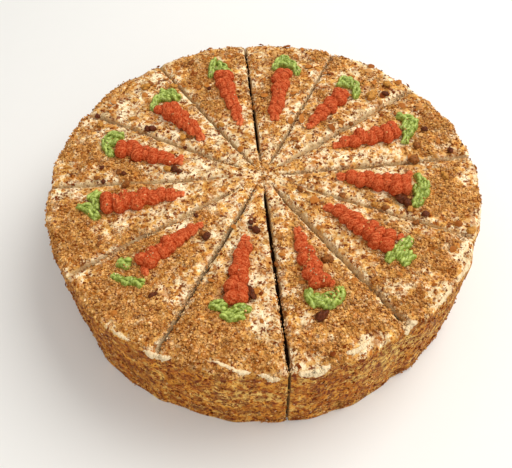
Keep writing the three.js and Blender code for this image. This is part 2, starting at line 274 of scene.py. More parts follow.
# Thin lips of cream drawn along the rim: each point gives direction, distance and thickness.
LIPS = (
    (
        (-103.5, 124.6, 0.6), (-101.0, 125.0, 1.1), (-98.6, 126.0, 1.4), (-96.2, 128.2, 1.6),
        (-93.8, 128.8, 1.4),
    ),
    (
        (-92.4, 129.2, 1.1), (-90.6, 129.4, 1.8), (-89.2, 130.4, 2.9), (-88.2, 130.6, 2.2),
        (-87.4, 130.2, 1.1),
    ),
    (
        (-83.6, 129.6, 1.5), (-82.2, 129.6, 2.5), (-80.0, 129.3, 3.0), (-77.8, 128.8, 2.8),
        (-76.4, 129.2, 1.5),
    ),
    (
        (-72.6, 126.0, 1.2), (-70.8, 126.0, 2.1), (-68.8, 125.4, 1.9), (-66.6, 124.2, 1.5),
        (-65.0, 123.4, 1.0),
    ),
    ((-57.4, 129.6, 1.5), (-56.3, 129.9, 1.9), (-54.6, 128.8, 2.4), (-53.0, 129.0, 1.5)),
    ((-47.0, 128.4, 1.0), (-44.6, 128.9, 2.0), (-42.4, 128.4, 1.4), (-40.6, 128.8, 0.8)),
    (
        (-38.4, 128.6, 0.9), (-36.4, 128.2, 1.9), (-34.4, 128.8, 1.3), (-32.4, 128.4, 2.2),
        (-30.0, 128.2, 0.9),
    ),
    (
        (-118.4, 129.0, 1.5), (-116.6, 129.4, 2.4), (-115.0, 129.8, 1.8), (-113.4, 129.6, 2.4),
        (-111.6, 128.8, 1.2),
    ),
    ((-128.0, 128.6, 0.9), (-125.0, 128.8, 1.4), (-122.0, 128.8, 1.0)),
    ((-20.0, 128.2, 1.0), (-16.0, 128.8, 1.5), (-11.0, 128.6, 1.1)),
)

# Where crumbs lie on the piping: x, y, reach and how thick.
DUSTED = (
    (-77, -68, 5, 0.9), (-80, -14, 10, 0.5), (-66, -13, 6, 0.4), (24, -66, 10, 0.35),
    (31, -83, 6, 0.5), (34, -90, 4, 0.3), (-23, -92, 5, 0.2), (-64, -64, 6, 0.2),
    (93, 38, 5, 0.3), (68, 33, 6, 0.2), (88, -6, 5, 0.3), (60, -42, 8, 0.15),
)

# The largest raisins and nut pieces: x, y and length.
RAISINS = (
    (-8.6, -83.8, 6.0), (-7.0, -86.2, 4.6), (-10.8, -86.6, 4.8), (-7.6, -37.4, 3.6),
    (-4.6, -42.8, 4.2), (-7.8, -40.6, 2.4), (28.0, -98.6, 7.0), (-32.2, -46.4, 4.8),
    (-53.4, 4.6, 4.6), (-50.6, 3.8, 3.6), (-98.0, 8.0, 2.6), (-51.0, 40.0, 2.6),
    (-56.0, -18.0, 3.0), (-107.0, 54.0, 3.4), (80.0, -22.6, 6.8), (83.2, -25.6, 5.6),
    (92.5, -34.0, 3.8), (104.0, 35.0, 4.8), (84.0, 70.0, 4.6), (117.0, 16.0, 4.0),
    (-73.4, 41.2, 4.4), (-69.8, 41.0, 4.6), (-95.5, -4.0, 3.4), (-84.0, 2.0, 3.6),
    (-48.0, 23.4, 3.0), (-34.5, 79.4, 3.2), (-39.0, -31.5, 3.0), (-60.0, -84.6, 3.2),
    (-58.0, -83.2, 2.2), (-53.0, -14.6, 3.4),
)
NUTS = (
    (34.0, -64.0, 5.4), (93.0, 8.0, 5.8), (97.0, 20.6, 5.0), (-34.8, -44.4, 4.4),
    (-87.0, 3.4, 4.6), (-82.0, -6.4, 5.0), (-100.0, -1.0, 3.2), (-45.0, 33.0, 4.4),
    (-48.0, 107.4, 4.4), (-75.0, 85.0, 3.6), (58.0, 41.4, 3.6), (22.5, 22.0, 3.4),
    (-92.0, -50.4, 3.4), (70.0, -29.0, 4.2), (86.0, -40.0, 3.6), (22.0, -13.0, 3.6),
    (6.0, -66.5, 3.0), (46.5, -18.5, 3.4), (-16.0, 52.0, 3.0),
)
GOLDEN_NUTS = (
    (75.0, 67.6, 6.8), (87.0, 79.0, 5.4), (109.0, -5.6, 5.2), (115.5, -46.4, 4.8),
    (-77.6, 82.4, 6.4), (-59.0, 82.0, 4.4), (-58.0, 5.6, 4.6), (-84.0, 51.0, 3.6),
    (-26.0, 43.4, 4.4), (-50.0, 32.0, 4.0), (84.0, -30.0, 3.8), (-104.0, 46.0, 4.2),
    (64.0, -26.0, 3.6),
)

# The materials of the crumbs: their shades from the darkest up, how far they take on the colour of the
# coat under them, and their roughness.
CRUMB_LOOKS = {
    "toasted crumb": (("dark", "toasted", "toasted", "golden", "golden", "pale"), 0.75, 0.85),
    "golden crumb": (("toasted", "golden", "golden", "pale"), 0.75, 0.85),
    "pale crumb": (("golden", "pale", "pale"), 0.5, 0.85),
    "dark speck": (("dark", "dark", "toasted"), 0, 0.85),
    "nut flake": (("dark", "flake", "flake", "golden"), 0, 0.5),
    "fallen crumb": (("nut", "toasted", "golden"), 0.75, 0.85),
}

# The crumbs on the coat: name, material, the field that spreads them, the setting for how many there
# are, smallest and largest size over a usual crumb's, flatness, height of the heaps in millimetres and
# sides.
CRUMB_KINDS = (
    ("toasted_crumbs", "toasted crumb", "toasted_top", "toasted", 0.6, 1.3, 0.6, 0.4, 4),
    ("heaped_crumbs", "toasted crumb", "toasted_top", "toasted", 0.55, 1.1, 0.65, 0.9, 4),
    ("side_crumbs", "toasted crumb", "toasted_side", "toasted", 0.5, 1.1, 0.6, 0.3, 4),
    ("golden_crumbs", "golden crumb", "golden", "golden", 0.6, 1.3, 0.6, 0.5, 4),
    ("pale_crumbs", "pale crumb", "pale", "pale", 0.5, 1.0, 0.7, 1.0, 4),
    ("dark_specks", "dark speck", "dark", "dark", 0.45, 1.4, 0.5, 0.15, 4),
    ("nut_flakes", "nut flake", "flakes", "flakes", 1.5, 3.2, 0.35, 0.2, 7),
)

# The crumbs on the piping in the same way, from smallest size to sides, and how many lie on each
# square millimetre.
FALLEN = (0.45, 0.95, 0.75, 0.2, 4)
FALLEN_DENSITY = 0.5

# ---------- settings ----------


def length(name, description, value):
    """A length setting, its default in metres."""
    return FloatProperty(name=name, description=description, default=value, unit="LENGTH")


def thickness(name, description, value):
    """A setting for how many crumbs lie on each square millimetre."""
    return FloatProperty(name=name, description=description, default=value, min=0)


class CakeForm(bpy.types.PropertyGroup):
    """Sizes of the coated cake."""

    radius: length("Radius", "Radius of the coated side", 130 * MM)
    height: length("Height", "Height of the top", CAKE_TOP)
    rim_round: length("Rim Rounding", "How far the rim rounds over", 4.5 * MM)
    point: length("Point", "Where a portion's point starts", 0.9 * MM)
    step: length("Mesh Step", "Spacing of the coat's rows", 1.0 * MM)
    columns: IntProperty(
        name="Columns", description="Columns across each portion's coat", default=66, min=16
    )


class CakeCrumbs(bpy.types.PropertyGroup):
    """How many crumbs cover the coat and how large they are."""

    toasted: thickness("Toasted", "Toasted crumbs for each square millimetre", 0.52)
    golden: thickness("Golden", "Golden crumbs for each square millimetre", 0.16)
    pale: thickness("Pale", "Pale crumbs for each square millimetre", 0.10)
    dark: thickness("Dark", "Dark specks for each square millimetre", 0.08)
    flakes: thickness("Flakes", "Nut flakes for each square millimetre", 0.026)
    size: length("Crumb Size", "Width of a usual crumb", 1.7 * MM)
    seed: IntProperty(name="Seed", description="Seed of the scatter", default=5)


class CakePiping(bpy.types.PropertyGroup):
    """Shape of the piped carrots and leaves."""

    pitch: length("Turn Pitch", "Spacing of a carrot's turns", 5.3 * MM)
    rise: FloatProperty(
        name="Rise", description="Height of a carrot over its width", default=0.56, min=0.2, max=1
    )
    leaf_step: length("Leaf Step", "Spacing of the dabs along a leaf", 1.0 * MM)
    ruffle: length("Ruffle", "Length of a leaf's waves", 7.5 * MM)
    leaf_height: length("Leaf Height", "Height of the leaves", 3.5 * MM)
    detail: length("Detail", "Fineness of the piped surface", 0.38 * MM)
    grit: length("Grit", "Height of the grains in the orange cream", 0.4 * MM)


def colour_property(name, description, value):
    """A colour setting with its default given in display values from 0 to 255."""
    return FloatVectorProperty(
        name=name, description=description, subtype="COLOR", size=4, min=0, max=1, default=linear(value)
    )


def linear(display):
    """A display colour from 0 to 255 as scene-linear values with full alpha."""
    parts = [channel / 255 for channel in display]
    curve = [p / 12.92 if p < 0.04045 else ((p + 0.055) / 1.055) ** 2.4 for p in parts]
    return (*curve, 1.0)


class CakeColours(bpy.types.PropertyGroup):
    """Colours of the coat, the crumbs and the piping."""

    cream: colour_property("Cream", "Bare cream", (246, 226, 186))
    honey: colour_property("Honey", "Cream stained by crumbs", (226, 170, 90))
    toffee: colour_property("Toffee", "Deep stain in the coat", (182, 106, 30))
    # painted shade: cream greyed for the shade on the faces of a cut
    wall: colour_property("Wall", "Cream inside a cut", (206, 180, 136))
    shaded_sponge: colour_property("Sponge", "Inside of the cake", (92, 56, 28))
    toasted: colour_property("Toasted", "Toasted crumbs", (197, 131, 60))
    # painted shade: the inside of the cake darkened for the shade deep in a cut
    golden: colour_property("Golden", "Golden crumbs", (228, 182, 116))
    pale: colour_property("Pale", "Pale crumbs", (250, 222, 174))
    dark: colour_property("Dark", "Dark specks", (120, 52, 8))
    flake: colour_property("Flake", "Nut flakes", (186, 116, 48))
    nut: colour_property("Nut", "Nut pieces", (124, 72, 28))
    golden_nut: colour_property("Golden Nut", "Lighter nut pieces", (168, 116, 50))
    raisin: colour_property("Raisin", "Raisins", (82, 38, 16))
    carrot: colour_property("Carrot", "Orange piping", (176, 59, 12))
    # painted highlight: this colour is laid on the ridges and grains of the orange piping
    carrot_ridge: colour_property("Carrot Highlights", "Ridges of the orange piping", (245, 138, 84))
    leaf: colour_property("Leaf", "Green piping", (113, 130, 27))
    # painted highlight: this colour is laid on the ridges and grains of the green piping
    leaf_highlight: colour_property("Leaf Highlights", "Ridges of the green piping", (200, 218, 112))
    floor: colour_property("Floor", "Studio floor", (238, 238, 236))


# ---------- fields: how the coat varies from place to place ----------

LATTICE_KEYS = np.array([374761393, 668265263, 1274126177], np.int64)
HASH_STEP = 2654435761
WORD = 0xFFFFFFFF


def lattice_value(cells, seed):
    """A fixed random number from 0 to 1 for each whole-number cell."""
    word = (cells @ LATTICE_KEYS + seed * 1013904223) & WORD
    word = ((word ^ (word >> 15)) * HASH_STEP) & WORD
    word = ((word ^ (word >> 13)) * HASH_STEP) & WORD
    return word / WORD


def lumps(points, scale, seed=0):
    """Smooth noise from 0 to 1 with lumps about scale across; scale may differ by axis."""
    place = points / (np.asarray(scale, float))
    cells = np.floor(place).astype(np.int64)
    share = place - cells
    share = share * share * (3 - 2 * share)
    total = np.zeros(len(points))
    for corner in itertools.product((0, 1), repeat=3):
        weight = np.prod(np.where(corner, share, 1 - share), axis=1)
        total += weight * lattice_value(cells + np.array(corner), seed)
    return total


def rough(points, scale, seed=0, octaves=3):
    """Lumps with finer and finer lumps on them, from 0 to 1."""
    total, strength, weight = np.zeros(len(points)), 0.0, 1.0
    for octave in range(octaves):
        total += weight * lumps(points, np.asarray(scale, float) / 2**octave, seed + 31 * octave)
        strength += weight
        weight /= 2
    return total / strength


# The noise fields: size of the lumps in millimetres, by axis where they are drawn out, seed, octaves.
NOISES = {
    "cut edge": (5, 61, 3),
    "broad drift": (26, 3, 3),
    "patchy drift": (10, 8, 3),
    "side smear": ((16, 16, 9), 21, 3),
    "spread cream": (14, 40, 3),
    "cream ripple": (4.2, 44, 1),
    "side streaks": ((10, 10, 6), 47, 3),
    "coat grain": (2.6, 52, 2),
    "torn edge": (4, 64, 3),
    "crumb clumps": (6, 71, 3),
    "crumb heaps": (3.6, 73, 3),
    "choked cut": (9, 77, 3),
    "lip line": (3, 97, 3),
    "lip thickness": (2.2, 98, 3),
}


def noise(points, name):
    """The noise field of that name at each point, from 0 to 1."""
    size, seed, octaves = NOISES[name]
    return rough(points, np.array(size) * MM, seed, octaves)


def ease(value, low, high):
    """0 below low, 1 above high and smooth between."""
    share = np.clip((value - low) / (high - low), 0, 1)
    return share * share * (3 - 2 * share)


def mix(low, high, share):
    """The value at a share of the way from low to high."""
    return low + (high - low) * share


def spots(points, rows):
    """Sum of soft round spots, each row giving x, y, reach in millimetres and strength."""
    total = np.zeros(len(points))
    for x, y, reach, strength in rows:
        away = np.hypot(points[:, 0] - x * MM, points[:, 1] - y * MM) / (reach * MM)
        total += strength * np.exp(-(away**2) * 1.2)
    return total


# ---------- portions ----------


def portion_frame(index):
    """The two cuts of a portion, the direction of its centre line and half its angle."""
    right, left = CUTS[index], CUTS[(index + 1) % PORTIONS]
    start = math.radians(right[0])
    end = math.radians(left[0] + (360 if left[0] < right[0] else 0))
    return right, left, (start + end) / 2, (end - start) / 2


def carrot_place(index):
    """A matrix that puts a carrot, made along +X about the origin, on its portion."""
    out, shift, lean = CARROTS[index][:3]
    _, _, middle, _ = portion_frame(index)
    spot = Matrix.Rotation(middle, 4, "Z") @ Vector((out * MM, shift * MM, 0))
    spot.z = CAKE_TOP
    return Matrix.Translation(spot) @ Matrix.Rotation(middle + math.radians(lean), 4, "Z")


OUT_OF_ROUND = (70 * MM, 126 * MM)  # radii between which the outline grows uneven


def rim_wave(angle, share, radius):
    """How far the coat stands out of round at an angle and radius, bulging between the cuts."""
    wave = 0.6 * np.sin(3 * angle + 1.1) + 0.5 * np.sin(8 * angle + 0.4)
    small = 0.45 * np.sin(21 * angle + 0.7) + 0.35 * np.sin(37 * angle + 2.0)
    bulge = 1.3 * (np.sin(np.pi * share) ** 0.5 - 1)
    return (wave + small + bulge) * MM * ease(radius, *OUT_OF_ROUND)


class CoatPortion:
    """The coat of one portion: rows from its point over the rim to its foot, and columns across."""

    WALL_DEPTHS = (0.6, 1.5, 3.0, 5.2, 8.5, 16.0)  # millimetres under the coat, down a cut face
    EDGE_STEPS = (0.0, 0.5, 1.2, 2.1, 3.3)  # millimetres of the outer columns from a cut
    RIM_TURNS = 6  # rows over the rim
    NARROWEST = 0.06 * MM  # a cut's gap at the cake's centre
    CLOSED = 0.05 * MM  # a cut's gap deep in the side
    RAGGED = (0.65, 0.7)  # the least share of a cut's width, and how much more there can be
    OVER_RIM = (0.25, 1.25)  # radians of turn over which a cut narrows down to the side's gap
    COLUMN_LIMIT = 0.3  # the outer columns take no more than this share of a narrow portion

    def __init__(self, form, index):
        self.form = form
        self.index = index
        self.right, self.left, self.middle, self.half = portion_frame(index)
        self.radii, self.heights, self.bend = self.profile()
        self.rows = len(self.radii)
        self.columns = form.columns

    def profile(self):
        """Radius, height and how far the normal has turned from up to outwards at each row."""
        form = self.form
        flat = np.arange(form.point, form.radius - form.rim_round, form.step)
        turn = np.linspace(0, np.pi / 2, self.RIM_TURNS)
        side = np.arange(form.height - form.rim_round - form.step, form.step / 2, -form.step)
        centre = form.radius - form.rim_round
        radii = [flat, centre + form.rim_round * np.sin(turn), np.full(len(side) + 1, form.radius)]
        drop = form.height - form.rim_round
        heights = [np.full(len(flat), form.height), drop + form.rim_round * np.cos(turn), side, [0.0]]
        bend = [np.zeros(len(flat)), turn, np.full(len(side) + 1, np.pi / 2)]
        return np.concatenate(radii), np.concatenate(heights), np.concatenate(bend)

    def half_gap(self, cut, depth):
        """Half a cut's gap at each row, at a depth under the coat, ragged along its edge."""
        top, deep, side, closed, start = (value * MM for value in cut[1:])
        close = np.clip(1 - depth * MM / closed, 0, 1) ** 1.3
        along = np.stack([self.radii, self.heights, np.full(self.rows, self.index + cut[0])], axis=1)
        least, more = self.RAGGED
        ragged = least + more * noise(along, "cut edge")
        on_top = mix(deep, top * ragged, close)
        at_point = ease(self.radii, 0.6 * start, 1.3 * start + 20 * MM)
        over_rim = ease(self.bend, *self.OVER_RIM)
        gap = mix(mix(self.NARROWEST, on_top, at_point), mix(self.CLOSED, side, close), over_rim)
        return gap / 2

    def shares(self):
        """The share across the portion of every column at every row, closer together at the cuts."""
        width = 2 * self.half * self.radii[:, None]
        edge = np.array(self.EDGE_STEPS)[None, :] * MM / width
        edge *= np.minimum(1, self.COLUMN_LIMIT / edge[:, -1:])
        inner = self.columns - 2 * len(self.EDGE_STEPS)
        spread = np.linspace(0, 1, inner + 2)[1:-1][None, :]
        inside = mix(edge[:, -1:], 1 - edge[:, -1:], spread)
        return np.hstack([edge, inside, 1 - edge[:, ::-1]])

    def surface(self):
        """Points of the plain coat, their outward normals and each column's share across."""
        share = self.shares()
        low = np.arcsin(self.half_gap(self.right, 0) / self.radii) - self.half
        high = self.half - np.arcsin(self.half_gap(self.left, 0) / self.radii)
        world = self.middle + mix(low[:, None], high[:, None], share)
        radius = self.radii[:, None] + rim_wave(world, share, self.radii[:, None])
        height = np.broadcast_to(self.heights[:, None], radius.shape)
        points = np.stack([radius * np.cos(world), radius * np.sin(world), height], axis=-1)
        out = np.sin(self.bend)[:, None]
        up = np.broadcast_to(np.cos(self.bend)[:, None], radius.shape)
        normals = np.stack([out * np.cos(world), out * np.sin(world), up], axis=-1)
        return points.reshape(-1, 3), normals.reshape(-1, 3), share

    def wall(self, edge, cut, side):
        """Rings of points down one cut face, from the coat's edge inwards."""
        ray = self.middle + side * self.half
        along = np.array([math.cos(ray), math.sin(ray), 0])
        across = np.array([-math.sin(ray), math.cos(ray), 0]) * -side
        rings = []
        for depth in self.WALL_DEPTHS:
            radius = edge @ along - np.sin(self.bend) * depth * MM
            height = np.maximum(edge[:, 2] - np.cos(self.bend) * depth * MM, 0)
            height[-1] = 0
            ring = radius[:, None] * along + self.half_gap(cut, depth)[:, None] * across
            ring[:, 2] = height
            ring[0] = [edge[0, 0], edge[0, 1], ring[0, 2]]
            rings.append(ring)
        return rings


TURNED_TO_SIDE = (0.7, 1.4)  # radians over which the top's spread gives way to the side's


def coat_fields(points, bend):
    """How thickly toasted crumbs lie, and how bare the cream is, from 0 to 1 at each point; on the side
    the drift also holds painted shade towards -X, and the cream grows barer towards +X.
    """
    radius = np.hypot(points[:, 0], points[:, 1])
    on_side = ease(bend, *TURNED_TO_SIDE)
    patchy, smear = noise(points, "patchy drift"), noise(points, "side smear")
    bare_top = spots(points, BARE_PATCHES)
    drift_top = (
        spots(points, DRIFTS)
        + 0.1 * ease(radius, 80 * MM, 116 * MM)
        + 1.0 * (noise(points, "broad drift") - 0.46)
        + 1.9 * (patchy - 0.5)
    )
    drift_top -= 0.8 * bare_top
    facing = points[:, 0] / np.maximum(radius, MM)
    # painted shade: more drift, so a darker toasted colour and a few more crumbs, on the side facing
    # -X, away from the key light
    drift_side = 0.35 + 1.8 * (smear - 0.5) + 0.35 * ease(-facing, 0.2, 0.9)
    drift = np.clip(mix(drift_top, drift_side, on_side), 0, 1) * (1 - near_lips(points))
    bare = np.clip(bare_top + 1.4 * (patchy - 0.60) - 0.4 * drift_top, 0, 1)
    # the side grows barer towards +X
    bare_side = 3.0 * (0.42 - smear) + 0.4 * ease(facing, 0.5, 0.95) + spots(points, SIDE_BARE)
    return drift, np.clip(mix(bare, bare_side, on_side), 0, 1)


def near_lips(points):
    """1 beside the cream lips of the rim, falling to 0 a little further off."""
    turn = np.degrees(np.arctan2(points[:, 1], points[:, 0]))
    out = np.hypot(points[:, 0], points[:, 1]) / MM
    near = np.zeros(len(points))
    for lip in LIPS:
        path = np.array(lip)
        line = np.interp(turn, path[:, 0], path[:, 1], left=-999, right=-999)
        near = np.maximum(near, 1 - ease(np.abs(out - line), 0.8, 2.4))
    return near * ease(points[:, 2], CAKE_TOP - 6 * MM, CAKE_TOP - 4 * MM)


def coat_relief(points, bend, drift):
    """Height of the spread cream and of the crumb drifts over the plain coat."""
    names = ("spread cream", "cream ripple", "side streaks", "coat grain")
    spread, ripple, streak, grain = (noise(points, name) - 0.5 for name in names)
    top = 0.9 * spread + 0.45 * ripple + drift * (0.35 + 1.0 * grain)
    side = 1.7 * streak + 0.6 * ripple + drift * 1.0 * grain
    return mix(top, side, ease(bend, *TURNED_TO_SIDE)) * MM


SETTLED = 1.1 * MM  # how far the top sinks at an open cut
SETTLED_REACH = 3.2  # millimetres from a cut over which it sinks


def edge_rounding(portion, share):
    """How far the top has settled near each cut, as rows by columns."""
    width = 2 * portion.half * portion.radii[:, None] / MM
    reach = np.minimum(SETTLED_REACH, 0.3 * width)
    settled = 0
    for away, cut in ((share, portion.right), (1 - share, portion.left)):
        near = np.clip(1 - away * width / reach, 0, 1)
        start = cut[5]
        opened = mix(0.1, 1.0, ease(portion.radii, 0.7 * start * MM, (1.2 * start + 8) * MM))
        settled = settled + SETTLED * near**2 * opened[:, None]
    return settled


def torn_edges(portion, points, share, bend):
    """How far the crumbs have come off beside the cuts and at the corners of the rim, from 0 to 1."""
    width = 2 * portion.half * portion.radii[:, None]
    away = (np.minimum(share, 1 - share) * width / MM).ravel()
    torn = noise(points, "torn edge")
    at_cut = (1 - ease(away, 0.3, 0.8 + 2.4 * torn)) * ease(torn, 0.34, 0.6)
    on_rim = ease(bend, 0.1, 0.5)
    at_corner = (1 - ease(away, 1.0, 2.0 + 5.0 * torn)) * on_rim * (1 - ease(bend, 1.2, 1.5))
    return np.maximum(0.8 * at_cut, at_corner)


FIELDS = ("drift", "bare", "side")
CENTRE_DEPTH = 20.0  # millimetres, deeper than every ring of a cut face
CRUMBED_RINGS = 3  # rings of each cut face, from the top, that crumbs can lie on
FLAT_FACES = 4  # the last faces of a coat close its two cut faces, its point and its base


def coat_mesh(form, index):
    """Points, faces and fields of one portion's coat, and how many faces crumbs can lie on."""
    portion = CoatPortion(form, index)
    rows, columns = portion.rows, portion.columns
    points, normals, share = portion.surface()
    bend = np.repeat(portion.bend, columns)
    drift, bare = coat_fields(points, bend)
    torn = torn_edges(portion, points, share, bend)
    drift *= 1 - 0.8 * torn
    own = (drift, np.maximum(bare, torn), ease(bend, 0.8, 1.4))
    relief = coat_relief(points, bend, drift) * ease(points[:, 2], 0, 3 * MM)
    settle = edge_rounding(portion, share).ravel() * np.cos(bend)
    points = points + normals * relief[:, None]
    points[:, 2] = np.maximum(points[:, 2] - settle, 0)
    points[-columns:, 2] = 0

    grid = np.arange(rows * columns).reshape(rows, columns)
    strips = [np.stack([grid[:-1, :-1], grid[1:, :-1], grid[1:, 1:], grid[:-1, 1:]], axis=-1)]
    vertices, depths, tinted = [points], [np.zeros(len(points))], [own]
    count, chains = len(points), {}
    for side, column, cut in ((-1, 0, portion.right), (1, columns - 1, portion.left)):
        chain = [grid[:, column]]
        for depth, ring in zip(portion.WALL_DEPTHS, portion.wall(points[chain[0]], cut, side)):
            chain.append(np.arange(count, count + rows))
            upper, lower = chain[-2], chain[-1]
            strip = np.stack([upper[:-1], lower[:-1], lower[1:], upper[1:]], axis=-1)
            strips.append(strip if side < 0 else strip[:, ::-1])
            vertices.append(ring)
            depths.append(np.full(rows, depth))
            tinted.append(tuple(field[chain[0]] for field in own))
            count += rows
        vertices.append((points[grid[0, column]] * [1, 1, 0])[None])
        depths.append(np.array([CENTRE_DEPTH]))
        tinted.append((np.zeros(1),) * len(FIELDS))
        chain.append(np.array([count]))
        chains[side] = chain
        count += 1

    walls = [
        1 + side * len(portion.WALL_DEPTHS) + ring for side in (0, 1) for ring in range(CRUMBED_RINGS)
    ]
    order = [0, *walls, *(number for number in range(1, len(strips)) if number not in walls)]
    faces = [face for number in order for face in strips[number].reshape(-1, 4).tolist()]
    coated = sum(strips[number].size // 4 for number in (0, *walls))
    for side in (-1, 1):
        loop = chains[side][-2].tolist() + chains[side][-1].tolist()
        faces.append(loop if side < 0 else loop[::-1])
    for end in (0, -1):
        right, left = (
            [int(ring[end]) for ring in chains[side][1:-1]] + [int(chains[side][-1][0])]
            for side in (-1, 1)
        )
        loop = grid[end].tolist() + left + right[::-1]
        faces.append(loop if end == 0 else loop[::-1])
    fields = {name: np.concatenate(values) for name, values in zip(FIELDS, zip(*tinted))}
    fields["depth"] = np.concatenate(depths)
    return np.concatenate(vertices), faces, fields, coated


# ---------- making meshes and nodes ----------


def new_object(name, mesh, material=None):
    """An object at the origin, shown in the scene."""
    piece = bpy.data.objects.new(name, mesh)
    bpy.context.scene.collection.objects.link(piece)
    if material:
        mesh.materials.clear()
        mesh.materials.append(material)
    return piece


def add_field(mesh, name, values, kind="FLOAT"):
    """Stores a number, or a vector where kind says so, at each vertex of a mesh."""
    layer = mesh.attributes.new(name, kind, "POINT")
    place = "value" if kind == "FLOAT" else "vector"
    layer.data.foreach_set(place, np.asarray(values, np.float32).ravel())


def smooth_faces(mesh, count):
    """Shades the first faces of a mesh smooth, and the rest flat."""
    mesh.polygons.foreach_set("use_smooth", np.arange(len(mesh.polygons)) < count)


def mesh_from(name, points, faces, fields=None):
    """A smooth mesh from points and faces, with a value at each point for each field."""
    mesh = bpy.data.meshes.new(name)
    mesh.from_pydata(np.asarray(points).tolist(), [], faces)
    smooth_faces(mesh, len(faces))
    for field, values in (fields or {}).items():
        add_field(mesh, field, values)
    mesh.update()
    return mesh


def evaluated_mesh(piece, name):
    """The mesh that a piece's modifiers make, as a plain mesh of its own; the piece is removed."""
    graph = bpy.context.evaluated_depsgraph_get()
    mesh = bpy.data.meshes.new_from_object(piece.evaluated_get(graph), depsgraph=graph)
    mesh.name = name
    bpy.data.objects.remove(piece)
    return mesh


def new_tree(name, kind, inputs, output):
    """A node tree with named inputs and one output, and the sockets that its inputs give."""
    tree = bpy.data.node_groups.new(name, kind)
    for label, socket in inputs.items():
        tree.interface.new_socket(name=label, in_out="INPUT", socket_type="NodeSocket" + socket)
    label, socket = output
    tree.interface.new_socket(name=label, in_out="OUTPUT", socket_type="NodeSocket" + socket)
    return tree, tree.nodes.new("NodeGroupInput").outputs


def shared_tree(name):
    """A node tree by its name, built the first time that it is asked for."""
    return bpy.data.node_groups.get(name) or TREE_MAKERS[name](name)


def add_node(tree, kind, inputs=None, **settings):
    """A node with its settings, and its inputs set to values or linked to other sockets."""
    node = tree.nodes.new(kind)
    for name, value in settings.items():
        setattr(node, name, value)
    for name, value in (inputs or {}).items():
        if isinstance(value, bpy.types.NodeSocket):
            tree.links.new(value, node.inputs[name])
        else:
            node.inputs[name].default_value = value
    return node


def math_node(tree, operation, *values, clamp=False):
    """The result of a sum on numbers or sockets."""
    inputs = dict(enumerate(values))
    return add_node(tree, "ShaderNodeMath", inputs, operation=operation, use_clamp=clamp).outputs[0]


def vector_node(tree, operation, first, second):
    """The result of a sum on two vectors, or on a vector and a number where it is scaled."""
    inputs = {0: first, "Scale" if operation == "SCALE" else 1: second}
    return add_node(tree, "ShaderNodeVectorMath", inputs, operation=operation).outputs[0]


def run_tree(tree, name, mesh, **inputs):
    """The plain mesh that a geometry node tree makes from a mesh, its inputs set by name."""
    carrier = new_object(name, mesh)
    modifier = carrier.modifiers.new("Nodes", "NODES")
    modifier.node_group = tree
    for item in tree.interface.items_tree:
        if item.item_type == "SOCKET" and item.in_out == "INPUT" and item.name in inputs:
            modifier[item.identifier] = inputs[item.name]
    return evaluated_mesh(carrier, name)


def ride(piece, slot, *nodes):
    """Puts a finished piece on the cake's body, in place of its solids."""
    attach(piece, BODY)
    if nodes:
        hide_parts(*nodes)


# ---------- geometry node trees ----------


